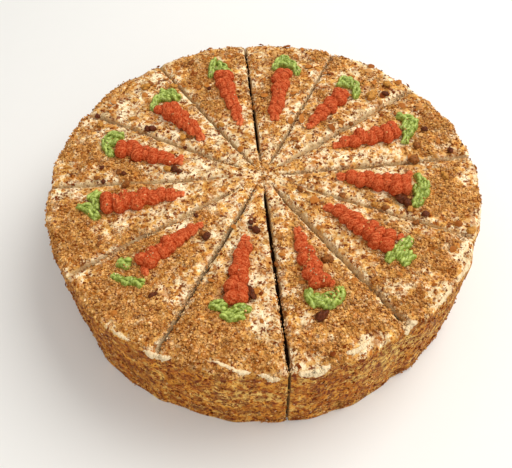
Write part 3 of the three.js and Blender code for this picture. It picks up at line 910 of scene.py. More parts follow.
def scatter_tree(name):
    """Scatters one kind of crumb over a surface, more thickly where a field is higher."""
    sizes = dict.fromkeys(("Density", "Smallest", "Largest", "Flatness", "Pile"), "Float")
    inputs = {"Geometry": "Geometry", "Cover": "String", **sizes, "Sides": "Int", "Seed": "Int"}
    tree, given = new_tree(
        name, "GeometryNodeTree", inputs | {"Material": "Material"}, ("Geometry", "Geometry")
    )
    cover = add_node(
        tree, "GeometryNodeInputNamedAttribute", {"Name": given["Cover"]}, data_type="FLOAT"
    ).outputs["Attribute"]
    spread = add_node(
        tree,
        "GeometryNodeDistributePointsOnFaces",
        {
            "Mesh": given["Geometry"],
            "Density": math_node(tree, "MULTIPLY", cover, given["Density"]),
            "Seed": given["Seed"],
        },
        distribute_method="RANDOM",
    ).outputs

    def random_number(low, high, offset):
        seed = math_node(tree, "ADD", given["Seed"], offset)
        inputs = {"Seed": seed, 2: low, 3: high}
        return add_node(tree, "FunctionNodeRandomValue", inputs, data_type="FLOAT").outputs[1]

    def random_vector(low, high, offset):
        seed = math_node(tree, "ADD", given["Seed"], offset)
        inputs = {"Seed": seed, 0: low, 1: high}
        return add_node(tree, "FunctionNodeRandomValue", inputs, data_type="FLOAT_VECTOR").outputs[0]

    chance = math_node(tree, "POWER", random_number(0.0, 1.0, 1), 1.3)
    span = math_node(tree, "SUBTRACT", given["Largest"], given["Smallest"])
    size = math_node(tree, "MULTIPLY_ADD", chance, span, given["Smallest"])
    uneven = random_vector((0.65, 0.65, 0.65), (1.25, 1.25, 1.0), 2)
    flat = add_node(tree, "ShaderNodeCombineXYZ", {"X": 1.0, "Y": 1.0, "Z": given["Flatness"]})
    shape = vector_node(tree, "MULTIPLY", uneven, flat.outputs[0])
    lift = math_node(tree, "MULTIPLY", random_number(-0.12, 0.3, 3), size)
    heap = math_node(tree, "MULTIPLY", random_number(0.0, 1.0, 4), given["Pile"])
    height = math_node(tree, "ADD", lift, math_node(tree, "MULTIPLY", heap, cover))
    offset = vector_node(tree, "SCALE", spread["Normal"], height)
    placed = add_node(
        tree, "GeometryNodeSetPosition", {"Geometry": spread["Points"], "Offset": offset}
    )
    turn = add_node(
        tree, "FunctionNodeEulerToRotation", {0: random_vector((-0.5, -0.5, 0), (0.5, 0.5, 6.28), 5)}
    )
    tumble = add_node(
        tree,
        "FunctionNodeRotateRotation",
        {"Rotation": spread["Rotation"], 1: turn.outputs[0]},
        rotation_space="LOCAL",
    )
    crumb = {"Segments": given["Sides"], "Rings": 2, "Radius": 0.5}
    copies = add_node(
        tree,
        "GeometryNodeInstanceOnPoints",
        {
            "Points": placed.outputs[0],
            "Instance": add_node(tree, "GeometryNodeMeshUVSphere", crumb).outputs["Mesh"],
            "Rotation": tumble.outputs[0],
            "Scale": vector_node(tree, "SCALE", shape, size),
        },
    )
    tone = add_node(
        tree,
        "GeometryNodeStoreNamedAttribute",
        {"Geometry": copies.outputs[0], "Name": "tone", "Value": random_number(0.0, 1.0, 6)},
        data_type="FLOAT",
        domain="INSTANCE",
    )
    solid = add_node(tree, "GeometryNodeRealizeInstances", {"Geometry": tone.outputs[0]})
    faceted = add_node(
        tree, "GeometryNodeSetShadeSmooth", {"Geometry": solid.outputs[0], "Shade Smooth": False}
    )
    return finish_tree(tree, faceted, given)


def finish_tree(tree, shape, given):
    """Gives a tree's shape its material and puts it out."""
    inputs = {"Geometry": shape.outputs[0], "Material": given["Material"]}
    finished = add_node(tree, "GeometryNodeSetMaterial", inputs)
    add_node(tree, "NodeGroupOutput", {0: finished.outputs[0]})
    return tree


def dab_tree(name):
    """Sets one soft dab of cream on every point, turned and sized by the point's own values."""
    inputs = {"Geometry": "Geometry", "Uneven": "Float", "Seed": "Int", "Material": "Material"}
    tree, given = new_tree(name, "GeometryNodeTree", inputs, ("Geometry", "Geometry"))

    def own_vector(field):
        inputs = {"Name": field}
        kind = "GeometryNodeInputNamedAttribute"
        return add_node(tree, kind, inputs, data_type="FLOAT_VECTOR").outputs["Attribute"]

    change = {
        "Seed": given["Seed"],
        2: math_node(tree, "SUBTRACT", 1.0, given["Uneven"]),
        3: math_node(tree, "ADD", 1.0, given["Uneven"]),
    }
    swell = add_node(tree, "FunctionNodeRandomValue", change, data_type="FLOAT").outputs[1]
    turn = add_node(tree, "FunctionNodeEulerToRotation", {0: own_vector("turn")})
    ball = add_node(tree, "GeometryNodeMeshIcoSphere", {"Radius": 1.0, "Subdivisions": 4})
    dabs = add_node(
        tree,
        "GeometryNodeInstanceOnPoints",
        {
            "Points": given["Geometry"],
            "Instance": ball.outputs["Mesh"],
            "Rotation": turn.outputs[0],
            "Scale": vector_node(tree, "SCALE", own_vector("size"), swell),
        },
    )
    solid = add_node(tree, "GeometryNodeRealizeInstances", {"Geometry": dabs.outputs[0]})
    return finish_tree(tree, solid, given)


# ---------- shader node groups and materials ----------


def object_place(tree):
    """The shaded point in the object's own metres."""
    return tree.nodes.new("ShaderNodeTexCoord").outputs["Object"]


def patches_group(name):
    """Torn patches: the mask is 1 on a share of the surface given by Cover, drawn out sideways."""
    inputs = dict.fromkeys(("Size", "Cover", "Edge", "Shift"), "Float")
    group, given = new_tree(name, "ShaderNodeTree", inputs, ("Mask", "Float"))
    flat = vector_node(group, "MULTIPLY", object_place(group), (1.0, 1.0, 0.8))
    pattern = {
        "Vector": vector_node(group, "ADD", flat, given["Shift"]),
        "Scale": math_node(group, "DIVIDE", 1.0, given["Size"]),
        "Detail": 4.0,
        "Roughness": 0.62,
    }
    height = add_node(group, "ShaderNodeTexNoise", pattern).outputs["Fac"]
    limit = math_node(group, "MULTIPLY_ADD", given["Cover"], -0.28, 0.64)
    steep = math_node(group, "DIVIDE", math_node(group, "SUBTRACT", height, limit), given["Edge"])
    add_node(group, "NodeGroupOutput", {0: math_node(group, "ADD", steep, 0.5, clamp=True)})
    return group


def grain_group(name):
    """Fine crumbly relief: coarse and fine grains mixed, from 0 to 1."""
    inputs = {"Size": "Float", "Fineness": "Float"}
    group, given = new_tree(name, "ShaderNodeTree", inputs, ("Height", "Float"))
    place, scale = object_place(group), math_node(group, "DIVIDE", 1.0, given["Size"])
    coarse = {"Vector": place, "Scale": scale, "Detail": 3.0, "Roughness": 0.6}
    fine = {"Vector": place, "Scale": math_node(group, "MULTIPLY", scale, 1.6)}
    height = {
        0: given["Fineness"],
        2: add_node(group, "ShaderNodeTexNoise", coarse).outputs["Fac"],
        3: add_node(group, "ShaderNodeTexVoronoi", fine).outputs["Distance"],
    }
    mixed = add_node(group, "ShaderNodeMix", height, data_type="FLOAT")
    add_node(group, "NodeGroupOutput", {0: mixed.outputs[0]})
    return group


def blend_colours(tree, share, first, second, mode="MIX"):
    """The first colour turning into the second by a share; each may be a value or a socket."""
    inputs = {0: share, 6: first, 7: second}
    return add_node(tree, "ShaderNodeMix", inputs, data_type="RGBA", blend_type=mode).outputs[2]


def stain(tree, mask, strength, tint, colour):
    """A colour laid over a tint where a mask says so, as strongly as given."""
    return blend_colours(tree, math_node(tree, "MULTIPLY", mask, strength), tint, colour)


def multiplied(tree, tint, factors):
    """A tint times a factor for each of red, green and blue."""
    return blend_colours(tree, 1.0, tint, factors, "MULTIPLY")


def darker(colour, *factors):
    """A colour with its red, green and blue each times a factor, or all times one."""
    if len(factors) == 1:
        factors *= 3
    return (*(min(1, part * factor) for part, factor in zip(colour, factors)), 1.0)


def scaled_sum(tree, terms, total):
    """A number with each socket times its factor added, kept from 0 to 1."""
    for socket, factor in terms:
        total = math_node(tree, "MULTIPLY_ADD", socket, factor, total)
    total.node.use_clamp = True
    return total


def group_node(tree, group, **inputs):
    """What a shared shader group puts out for these inputs."""
    return add_node(tree, "ShaderNodeGroup", inputs, node_tree=shared_tree(group)).outputs[0]


def patches(tree, size, cover, edge, shift):
    """The mask of torn patches of one size, covering a share of the surface."""
    return group_node(tree, "Torn Patches", Size=size, Cover=cover, Edge=edge, Shift=shift)


def ramp(tree, value, low, high):
    """0 where a value is at low, 1 where it is at high, and straight between."""
    limits = {"Value": value, "From Min": low, "From Max": high}
    return add_node(tree, "ShaderNodeMapRange", limits).outputs[0]


def shade(name):
    """One of the cake's colours by its name."""
    return tuple(getattr(bpy.context.scene.cake_colours, name))


def new_material(name):
    """A material and its node tree."""
    material = bpy.data.materials.new(name)
    material.use_nodes = True
    return material, material.node_tree


def finish_material(material, tint, roughness, gloss, grain=None, depth=0.0, strength=1.0):
    """Sets the Principled shader's colour, roughness and gloss, and its relief where it has one."""
    tree = material.node_tree
    shader = tree.nodes["Principled BSDF"]
    tree.links.new(tint, shader.inputs["Base Color"])
    shader.inputs["Roughness"].default_value = roughness
    shader.inputs["Specular IOR Level"].default_value = gloss
    if grain:
        relief = {"Strength": strength, "Distance": depth, "Height": grain}
        tree.links.new(add_node(tree, "ShaderNodeBump", relief).outputs[0], shader.inputs["Normal"])
    return material


def field_value(tree, name):
    """A field of the mesh as a number."""
    return add_node(tree, "ShaderNodeAttribute", attribute_name=name).outputs["Fac"]


def crumbed_group(name):
    """Colour of cream with crumbs rubbed in, by how thick they lie and how bare the cream is."""
    labels = [field.capitalize() for field in FIELDS]
    inputs = dict.fromkeys(labels, "Float")
    group, given = new_tree(name, "ShaderNodeTree", inputs, ("Color", "Color"))
    tint = shade("honey")
    for colour, strength, size, (base, *factors), edge, shift in CREAM_LAYERS:
        cover = scaled_sum(group, [(given[label], part) for label, part in zip(labels, factors)], base)
        mask = patches(group, size * MM, cover, edge, shift)
        tint = stain(group, mask, strength, tint, shade(colour))
    for factors, strength, size, cover, edge, shift in STAINS:
        mask = patches(group, size * MM, cover, edge, shift)
        tint = stain(group, mask, strength, tint, multiplied(group, tint, (*factors, 1.0)))
    tint = blend_colours(group, given["Side"], tint, multiplied(group, tint, SIDE_WARMTH))
    add_node(group, "NodeGroupOutput", {0: tint})
    return group


def crumbed_colour(tree):
    """The crumbed cream's colour on a surface that carries its fields."""
    fields = {field.capitalize(): field_value(tree, field) for field in FIELDS}
    return group_node(tree, "Crumbed Cream", **fields)


def coat_material():
    """Cream with crumbs rubbed into it, paler along the cuts and dark deep in them; the greyed cream of
    the cut faces and the dark sponge deep down are partly painted shade.
    """
    material, tree = new_material("cream coat")
    depth = field_value(tree, "depth")
    # painted shade: greyed cream on the cut faces near the top
    tint = stain(tree, ramp(tree, depth, 0.2, 1.2), 0.6, crumbed_colour(tree), shade("wall"))
    # painted shade: the sponge colour, darkened, deep in the cuts
    tint = blend_colours(tree, ramp(tree, depth, 4.0, 8.0), tint, shade("shaded_sponge"))
    grain = group_node(tree, "Grain", Size=1.6 * MM, Fineness=0.35)
    return finish_material(material, tint, 0.66, 0.12, grain, 0.9 * MM, 0.9)


CRUMB_STAIN = (0.7, 0.54, 0.36, 1.0)


def crumb_material(name):
    """Crumbs of one kind, each of another shade, stained like the coat that they lie on."""
    if name in bpy.data.materials:
        return bpy.data.materials[name]
    shades, follow, roughness = CRUMB_LOOKS[name]
    material, tree = new_material(name)
    tone = field_value(tree, "tone")
    spread = add_node(tree, "ShaderNodeValToRGB", {"Fac": tone})
    stops = spread.color_ramp.elements
    stops[0].color, stops[1].color = shade(shades[0]), shade(shades[-1])
    for number, colour in enumerate(shades[1:-1], 1):
        stops.new(number / (len(shades) - 1)).color = shade(colour)
    tint = spread.outputs[0]
    if follow:
        light = math_node(tree, "MULTIPLY_ADD", tone, 0.6, 0.68)
        tint = blend_colours(tree, follow, tint, multiplied(tree, crumbed_colour(tree), light))
    mask = patches(tree, 1.2 * MM, 0.45, 0.12, 0.4)
    tint = stain(tree, mask, 0.4, tint, multiplied(tree, tint, CRUMB_STAIN))
    grain = group_node(tree, "Grain", Size=0.8 * MM, Fineness=0.5)
    return finish_material(material, tint, roughness, 0.08, grain, 0.2 * MM, 0.6)


def piping_material(name, colour, pale, size, roughness, gloss, depth):
    """Grainy buttercream, with painted highlights on its ridges and grains and painted shade in its
    hollows.
    """
    material, tree = new_material(name)
    colour, pale = shade(colour), shade(pale)
    # deep is the colour darkened as painted shade for the hollows
    hollow, deep = field_value(tree, "hollow"), darker(colour, 0.5, 0.38, 0.32)
    # painted highlight: the pale colour laid on the ridges, where the hollow field is low; a mesh
    # without that field, as the lips, takes it all over
    tint = stain(tree, ramp(tree, hollow, 0.47, 0.26), 0.8, colour, pale)
    # painted shade: the darkened colour laid deep in the hollows
    tint = stain(tree, ramp(tree, hollow, 0.51, 0.78), 0.9, tint, deep)
    tint = stain(tree, patches(tree, size * 4, 0.4, 0.12, 0.2), 0.22, tint, deep)
    # painted highlights: small pale glints on the grains
    tint = stain(tree, patches(tree, size * 0.8, 0.34, 0.07, 0.7), 0.4, tint, pale)
    grain = group_node(tree, "Grain", Size=size, Fineness=0.4)
    return finish_material(material, tint, roughness, gloss, grain, depth, 0.9)


def fruit_material(name, colour, roughness):
    """Raisin or nut, with painted shade in its wrinkles and painted highlights on its raised grain."""
    material, tree = new_material(name)
    colour = shade(colour)
    grain = group_node(tree, "Grain", Size=1.5 * MM, Fineness=0.3)
    # painted shade and highlight: darker where the relief is low and lighter where it stands up
    light = ramp(tree, grain, 0.3, 0.6)
    tint = blend_colours(tree, light, darker(colour, 0.55), darker(colour, 1.6))
    return finish_material(material, tint, roughness, 0.12, grain, 0.4 * MM, 0.7)


def floor_material():
    """Matt, nearly white and slightly mottled."""
    material, tree = new_material("studio floor")
    grain = group_node(tree, "Grain", Size=20 * MM, Fineness=0.2)
    tint = blend_colours(tree, grain, darker(shade("floor"), 0.985), shade("floor"))
    return finish_material(material, tint, 0.9, 0.5)


TREE_MAKERS = {
    "Crumb Scatter": scatter_tree,
    "Piped Dabs": dab_tree,
    "Torn Patches": patches_group,
    "Grain": grain_group,
    "Crumbed Cream": crumbed_group,
}


# ---------- operators and the meshes that they make ----------


class CAKE_OT_coat(bpy.types.Operator):
    """Coat every portion with cream, uneven and grooved along the cuts"""

    bl_idname = "cake.coat"
    bl_label = "Coat the Portions"

    def execute(self, context):
        form = context.scene.cake_form
        material = coat_material()
        for index in range(PORTIONS):
            points, faces, fields, _ = coat_mesh(form, index)
            mesh = mesh_from(f"coat_{index + 1:02d}", points, faces, fields)
            smooth_faces(mesh, len(faces) - FLAT_FACES)
            ride(new_object(mesh.name, mesh, material), "crumb_coat", f"portion_{index + 1:02d}")
        lip_cream = piping_material("lip cream", "golden", "cream", 0.9 * MM, 0.6, 0.3, 0.3 * MM)
        ride(new_object("rim_lips", lip_mesh(form), lip_cream), "crumb_coat")
        return {"FINISHED"}


def on_coat(form, angle, out):
    """Points on the finished coat at directions and distances, with their outward normals."""
    share = np.zeros(len(angle))
    for index in range(PORTIONS):
        _, _, middle, half = portion_frame(index)
        away = (angle - middle + np.pi) % math.tau - np.pi
        share = np.where(np.abs(away) <= half, (away / half + 1) / 2, share)
    edge = form.radius - form.rim_round
    bend = np.arcsin(np.clip((out - edge) / form.rim_round, 0, 0.98))
    radius = out + rim_wave(angle, share, out)
    height = form.height - form.rim_round * (1 - np.cos(bend))
    points = np.stack([radius * np.cos(angle), radius * np.sin(angle), height], axis=1)
    outward, up = np.sin(bend), np.cos(bend)
    normals = np.stack([outward * np.cos(angle), outward * np.sin(angle), up], axis=1)
    drift, _ = coat_fields(points, bend)
    return points + normals * coat_relief(points, bend, drift)[:, None], normals


def joined(parts):
    """Several lots of points and faces as one."""
    points, faces, count = [], [], 0
    for own, shape in parts:
        points.append(own)
        faces += [[corner + count for corner in face] for face in shape]
        count += len(own)
    return np.concatenate(points), faces


LIP_SIDES = 12
LIP_STEPS = 16  # rings for each point of a lip's path


def lip_ridge(form, lip):
    """Points and faces of one lip, a ragged ridge that tapers to nothing at both ends."""
    path = np.array([[math.radians(turn), out * MM, thick * MM] for turn, out, thick in lip])
    steps = np.linspace(0, len(path) - 1, LIP_STEPS * len(path))
    places = np.arange(len(path))
    turn, out, thick = (np.interp(steps, places, path[:, axis]) for axis in range(3))
    line = np.stack([steps * 3 * MM, out, turn], axis=1)
    out = out + (noise(line, "lip line") - 0.5) * 1.6 * MM
    thick = thick * (0.5 + 1.0 * noise(line, "lip thickness"))
    taper = np.minimum(1, 1.6 * np.minimum(steps, steps[-1] - steps) + 0.1)
    centre, normal = on_coat(form, turn, out)
    forward = np.gradient(centre, axis=0)
    forward /= np.linalg.norm(forward, axis=1)[:, None]
    across = np.cross(forward, normal)
    reach = (thick * taper / 2)[:, None]
    centre += normal * 0.15 * reach
    points = []
    for side in range(LIP_SIDES):
        spin = math.tau * side / LIP_SIDES
        outward, up = across * math.cos(spin) * reach * 1.25, normal * math.sin(spin) * reach
        points.append(centre + outward + up)
    grid = np.arange(LIP_SIDES * len(steps)).reshape(LIP_SIDES, len(steps))
    other = np.roll(grid, -1, axis=0)
    skin = np.stack([grid[:, :-1], other[:, :-1], other[:, 1:], grid[:, 1:]], axis=-1)
    ends = [grid[:, 0].tolist(), grid[::-1, -1].tolist()]
    return np.concatenate(points), skin.reshape(-1, 4).tolist() + ends


def lip_mesh(form):
    """Thin ragged ridges of cream along the rim."""
    points, faces = joined(lip_ridge(form, lip) for lip in LIPS)
    shove = np.stack([rough(points, 1.6 * MM, seed=90 + axis) - 0.5 for axis in range(3)], axis=1)
    mesh = mesh_from("rim_lips", points + shove * 1.1 * MM, faces)
    outwards(mesh)
    return mesh


def outwards(mesh):
    """Turns every face of a closed mesh outwards."""
    shape = bmesh.new()
    shape.from_mesh(mesh)
    bmesh.ops.recalc_face_normals(shape, faces=shape.faces)
    shape.to_mesh(mesh)
    shape.free()
    mesh.update()


BED_FOOT = 1.3 * MM  # no crumbs below this height


def crumb_bed(form):
    """The coated faces of all portions as one surface that crumbs can fall on, with their covers."""
    parts, notes = [], []
    for index in range(PORTIONS):
        points, faces, fields, coated = coat_mesh(form, index)
        usable = [face for face in faces[:coated] if min(points[face, 2]) > BED_FOOT]
        parts.append((points, usable))
        notes.append(fields)
    points, faces = joined(parts)
    fields = {name: np.concatenate([part[name] for part in notes]) for name in notes[0]}
    drift, bare, side = (fields[name] for name in FIELDS)
    wall = ease(fields.pop("depth"), 0.1, 0.6)
    open_face = (1 - wall) * (1 - near_lips(points))
    back = ease(points[:, 1], 20 * MM, 60 * MM) * (1 - side)
    off_centre = ease(np.hypot(points[:, 0], points[:, 1]), 15 * MM, 40 * MM)
    foot = (1 - ease(points[:, 2], 2 * MM, 6 * MM)) * (1 - wall)
    clumps = ease(noise(points, "crumb clumps"), 0.40, 0.62)
    heaps = ease(drift + 0.9 * (noise(points, "crumb heaps") - 0.5), 0.1, 0.75)
    choked = ease(noise(points, "choked cut"), 0.5, 0.62) * wall
    in_clumps = (0.15 + 0.85 * clumps) * (1 - 0.8 * bare) * (0.3 + 0.7 * drift)
    covers = {
        "toasted_top": heaps * (1 - side) * open_face + 0.6 * choked,
        "toasted_side": (0.10 * heaps + 0.4 * foot) * side * open_face,
        "golden": (in_clumps * (1 - 0.7 * side) + 0.4 * foot) * open_face,
        "pale": (0.8 * drift * (1 - 0.8 * side) + 0.7 * foot) * open_face + 0.3 * choked,
        "dark": (0.2 + 0.8 * clumps) * (1 - 0.3 * side) * open_face,
        "flakes": (0.12 + 0.88 * back) * clumps * (1 - side) * off_centre * open_face,
    }
    return mesh_from("crumb_bed", points, faces, covers | fields)


def scatter(name, bed, material, cover, density, sizes, flatness, pile, sides, seed):
    """One kind of crumb as a piece, scattered over a bed."""
    smallest, largest = sizes
    mesh = run_tree(
        shared_tree("Crumb Scatter"),
        name,
        bed,
        Cover=cover,
        Density=density / MM**2,
        Smallest=smallest,
        Largest=largest,
        Flatness=flatness,
        Pile=pile * MM,
        Sides=sides,
        Seed=seed,
        Material=crumb_material(material),
    )
    ride(new_object(name, mesh), "crumb_coat")


class CAKE_OT_crumbs(bpy.types.Operator):
    """Scatter each kind of crumb over the coat"""

    bl_idname = "cake.crumbs"
    bl_label = "Scatter the Crumbs"

    def execute(self, context):
        crumbs = context.scene.cake_crumbs
        bed = crumb_bed(context.scene.cake_form)
        for number, (name, material, cover, setting, small, large, *shape) in enumerate(CRUMB_KINDS):
            sizes = small * crumbs.size, large * crumbs.size
            seed = crumbs.seed + 100 * number
            each = getattr(crumbs, setting)
            scatter(name, bed.copy(), material, cover, each, sizes, *shape, seed)
        bpy.data.meshes.remove(bed)
        return {"FINISHED"}


PEBBLE_DETAIL = 4  # subdivisions of the ball that a piece is made from
DENTS = (0.5, 1.1)  # size of the dents over the piece's length, and their depth
WRINKLES = (0.22, 0.9)


def pebble(length, seed):
    """Points and faces of one wrinkled piece, longest along a random direction."""
    ball = bmesh.new()
    bmesh.ops.create_icosphere(ball, subdivisions=PEBBLE_DETAIL, radius=0.5)
    points = np.array([vertex.co[:] for vertex in ball.verts])
    faces = [[vertex.index for vertex in face.verts] for face in ball.faces]
    ball.free()
    where = points + seed * 3.7
    dents = rough(where, DENTS[0], seed=seed, octaves=2) - 0.5
    wrinkles = np.abs(rough(where, WRINKLES[0], seed=seed + 7, octaves=2) - 0.5)
    points *= (1 + DENTS[1] * dents + WRINKLES[1] * wrinkles)[:, None]
    draw = np.random.default_rng(seed)
    points *= length * MM * np.array([1.0, draw.uniform(0.66, 0.9), draw.uniform(0.5, 0.7)])
    spin, tilt = draw.uniform(0, math.tau), draw.uniform(-0.4, 0.4)
    turn = Matrix.Rotation(spin, 3, "Z") @ Matrix.Rotation(tilt, 3, "X")
    return points @ np.array(turn).T, faces


def scattered_pieces(name, rows, height, seed):
    """One mesh of wrinkled pieces at the given places on the top."""
    parts = []
    for number, (x, y, length) in enumerate(rows):
        points, faces = pebble(length, seed + number)
        parts.append((points + np.array([x * MM, y * MM, height + (0.2 * length + 0.3) * MM]), faces))
    return mesh_from(name, *joined(parts))


class CAKE_OT_nuts(bpy.types.Operator):
    """Press the large raisins and nut pieces into the top"""

    bl_idname = "cake.nuts"
    bl_label = "Press in Nuts and Raisins"

    def execute(self, context):
        for name, rows, material, colour, roughness, seed in (
            ("raisins", RAISINS, "raisin skin", "raisin", 0.42, 300),
            ("nut_pieces", NUTS, "nut flesh", "nut", 0.5, 400),
            ("golden_nut_pieces", GOLDEN_NUTS, "golden nut", "golden_nut", 0.5, 500),
        ):
            mesh = scattered_pieces(name, rows, context.scene.cake_form.height, seed)
            ride(new_object(name, mesh, fruit_material(material, colour, roughness)), "crumb_coat")
        return {"FINISHED"}


def vertex_array(mesh, normals=False):
    """The place of each vertex of a mesh, or its normal."""
    values = np.empty(len(mesh.vertices) * 3, np.float32)
    if normals:
        mesh.vertex_normals.foreach_get("vector", values)
    else:
        mesh.vertices.foreach_get("co", values)
    return values.reshape(-1, 3).astype(float)


def blurred(values, edges, times):
    """Values averaged with their neighbours along the edges, a number of times."""
    ends = np.concatenate([edges, edges[:, ::-1]])
    order = np.argsort(ends[:, 0], kind="stable")
    first, second = ends[order, 0], ends[order, 1]
    starts = np.searchsorted(first, np.arange(len(values)))
    sizes = np.bincount(first, minlength=len(values))[:, None]
    for _ in range(times):
        values = 0.5 * values + 0.5 * np.add.reduceat(values[second], starts, axis=0) / sizes
    return values


def piped_skin(name, rows, uneven, seed, detail, material):
    """One closed skin over overlapping dabs of cream; the rows are as for dab_points."""
    inputs = {"Uneven": uneven, "Seed": seed, "Material": material}
    dabs = run_tree(shared_tree("Piped Dabs"), name, dab_points(name, list(rows)), **inputs)
    lump = new_object(name, dabs)
    skin = lump.modifiers.new("Skin", "REMESH")
    skin.mode = "VOXEL"
    skin.voxel_size = detail
    soften = lump.modifiers.new("Soften", "SMOOTH")
    soften.factor = 0.5
    soften.iterations = 1
    return evaluated_mesh(lump, name)


LEVELLING = 8  # passes of blurring that give the level which hollows and ridges are taken from


def finish_skin(mesh, bumps, seed, depth, lean=0.0):
    """Roughens a piped skin and notes at each point whether it lies in a hollow or on a ridge.

    Each bump gives the size of its lumps by axis and its height; lean slants them, and depth is how
    far a point stands out or lies in to count as a ridge or a hollow in full.
    """
    points, normals = vertex_array(mesh), vertex_array(mesh, normals=True)
    for number, (scale, height) in enumerate(bumps):
        slanted = points - np.outer(points[:, 1] * lean, (1, 0, 0))
        folds = 1 - 4 * np.abs(rough(slanted, scale, seed + number, octaves=2) - 0.5)
        points += normals * (folds * height)[:, None]
    edges = np.empty(len(mesh.edges) * 2, np.int32)
    mesh.edges.foreach_get("vertices", edges)
    mesh.vertices.foreach_set("co", points.astype(np.float32).ravel())
    mesh.update()
    normals = vertex_array(mesh, normals=True)
    level = blurred(points, edges.reshape(-1, 2), LEVELLING)
    sunk = np.einsum("ij,ij->i", level - points, normals) / depth
    add_field(mesh, "hollow", np.clip(0.5 + sunk, 0, 1))
    smooth_faces(mesh, len(mesh.polygons))


def dab_points(name, rows):
    """A mesh of points that carry a turn and a size each; rows are (centre, turn, size)."""
    centres, turns, sizes = zip(*rows)
    mesh = mesh_from(name, centres, [])
    add_field(mesh, "turn", turns, "FLOAT_VECTOR")
    add_field(mesh, "size", sizes, "FLOAT_VECTOR")
    return mesh


TURN_WIDTHS = (0.88, 1.12)  # how a turn's width strays from the taper
FIRST_TURN = 0.72  # the width of the turn at the tip over the taper's
TURN_STRAY = 11  # degrees that a turn strays either way
SIDEWAYS = 0.7  # millimetres that a turn strays either way
HALF_OFFSET = 0.17  # how far each half of a turn lies from the middle, over the turn's width
HALF_BEND = 0.2  # radians that each half bends back


def carrot_dabs(index, piping):
    """The turns of one carrot along X from its tip to its shoulder, with its extra dabs."""
    length, width, tip, slant, swing = CARROTS[index][3:]
    draw = np.random.default_rng(40 + index)
    turns = round(length * MM / piping.pitch)
    pitch = length / turns
    for number in range(turns):
        along = number / (turns - 1)
        wide = mix(tip, width, along**0.75) * draw.uniform(*TURN_WIDTHS)
        wide *= FIRST_TURN if number == 0 else 1
        way = 1 if number % 2 else -1
        turn = math.radians(slant + swing * way + draw.uniform(-TURN_STRAY, TURN_STRAY))
        x = -length / 2 + (number + 0.5) * pitch
        y = way * wide * 0.08 + draw.uniform(-SIDEWAYS, SIDEWAYS)
        high = wide * piping.rise
        for half in (-1, 1):
            centre = np.array([x, y + half * wide * HALF_OFFSET, high * 0.36]) * MM
            centre[0] -= half * math.sin(turn) * wide * HALF_OFFSET * MM
            thick, tall = pitch * draw.uniform(0.6, 0.76), high * draw.uniform(0.52, 0.64)
            bend = (0.0, 0.0, turn - half * HALF_BEND)
            yield centre, bend, np.array([thick, wide * 0.34, tall]) * MM
    place = carrot_place(index)
    for number, x, y, long, wide, heading in ORANGE_DABS:
        if number == index + 1:
            spot = np.array([x * MM, y * MM, CAKE_TOP + 0.28 * wide * MM, 1])
            spot = np.array(place.inverted()) @ spot
            turn = math.radians(heading) - place.to_euler().z
            yield spot[:3], (0.0, 0.0, turn), np.array([long / 2, wide / 2, wide * 0.42]) * MM


class CAKE_OT_carrots(bpy.types.Operator):
    """Pipe one carrot on each portion, turn against turn"""

    bl_idname = "cake.carrots"
    bl_label = "Pipe the Carrots"

    def execute(self, context):
        piping = context.scene.cake_piping
        # the second colour is the painted highlight on the ridges and grains
        cream = piping_material(
            "orange cream", "carrot", "carrot_ridge", 0.9 * MM, 0.62, 0.12, 0.6 * MM
        )
        bumps = (
            (np.array([2.2, 9.0, 9.0]) * MM, piping.grit * 0.8),
            (2.2 * MM, piping.grit * 0.9),
            (1.1 * MM, piping.grit * 0.45),
        )
        for index in range(PORTIONS):
            name = f"piped_carrot_{index + 1:02d}"
            mesh = piped_skin(name, carrot_dabs(index, piping), 0.05, index, piping.detail, cream)
            slant = CARROTS[index][6]
            lean = math.tan(math.radians(slant * 1.6))
            finish_skin(mesh, bumps, 500 + 10 * index, 1.1 * MM, lean)
            mesh.transform(carrot_place(index))
            ride(new_object(name, mesh, cream), "orange_cream", f"carrot_{index + 1:02d}")
        return {"FINISHED"}


FOLD_OFFSET = 0.3  # how far the outer folds lie from the middle one, over the stroke's width
FOLD_LEAN = 0.3  # radians that the outer folds lean out
FOLD_DELAY = 1.9  # radians of wave from one fold to the next


def leaf_dabs(index, piping):
    """A low body of green cream with three wavy folds along each stroke of one cluster."""
    draw = np.random.default_rng(900 + index)
    for stroke in LEAF_STROKES[index]:
        path = np.array(stroke) * MM
        steps = np.hypot(*np.diff(path[:, :2], axis=0).T)
        reach = np.concatenate([[0], np.cumsum(steps)])
        start = draw.uniform(0, math.tau)
        for spot in np.arange(0, reach[-1], piping.leaf_step):
            x, y, wide = (np.interp(spot, reach, path[:, axis]) for axis in range(3))
            ends = np.clip([spot - MM, spot + MM], 0, reach[-1])
            run_x, run_y = (np.diff(np.interp(ends, reach, path[:, axis]))[0] for axis in (0, 1))
            heading = math.atan2(run_y, run_x)
            high = piping.leaf_height * min(1, 0.5 + wide / (12 * MM))
            body = np.array([piping.leaf_step * 1.5, wide * 0.42, high * 0.42])
            yield np.array([x, y, CAKE_TOP + high * 0.2]), (0.0, 0.0, heading), body
            for half in (-1, 0, 1):
                wave = math.sin(start + half * FOLD_DELAY + math.tau * spot / piping.ruffle)
                off = wide * (FOLD_OFFSET * half + 0.06 * wave)
                tall = high * (0.86 + 0.22 * wave + 0.12 * abs(half))
                aside = x - math.sin(heading) * off, y + math.cos(heading) * off
                turn = (half * FOLD_LEAN, 0.0, heading + 0.35 * wave)
                fold = np.array([piping.leaf_step * 1.6, wide * 0.12 + 0.2 * MM, tall * 0.48])
                yield np.array([*aside, CAKE_TOP + tall * 0.5]), turn, fold


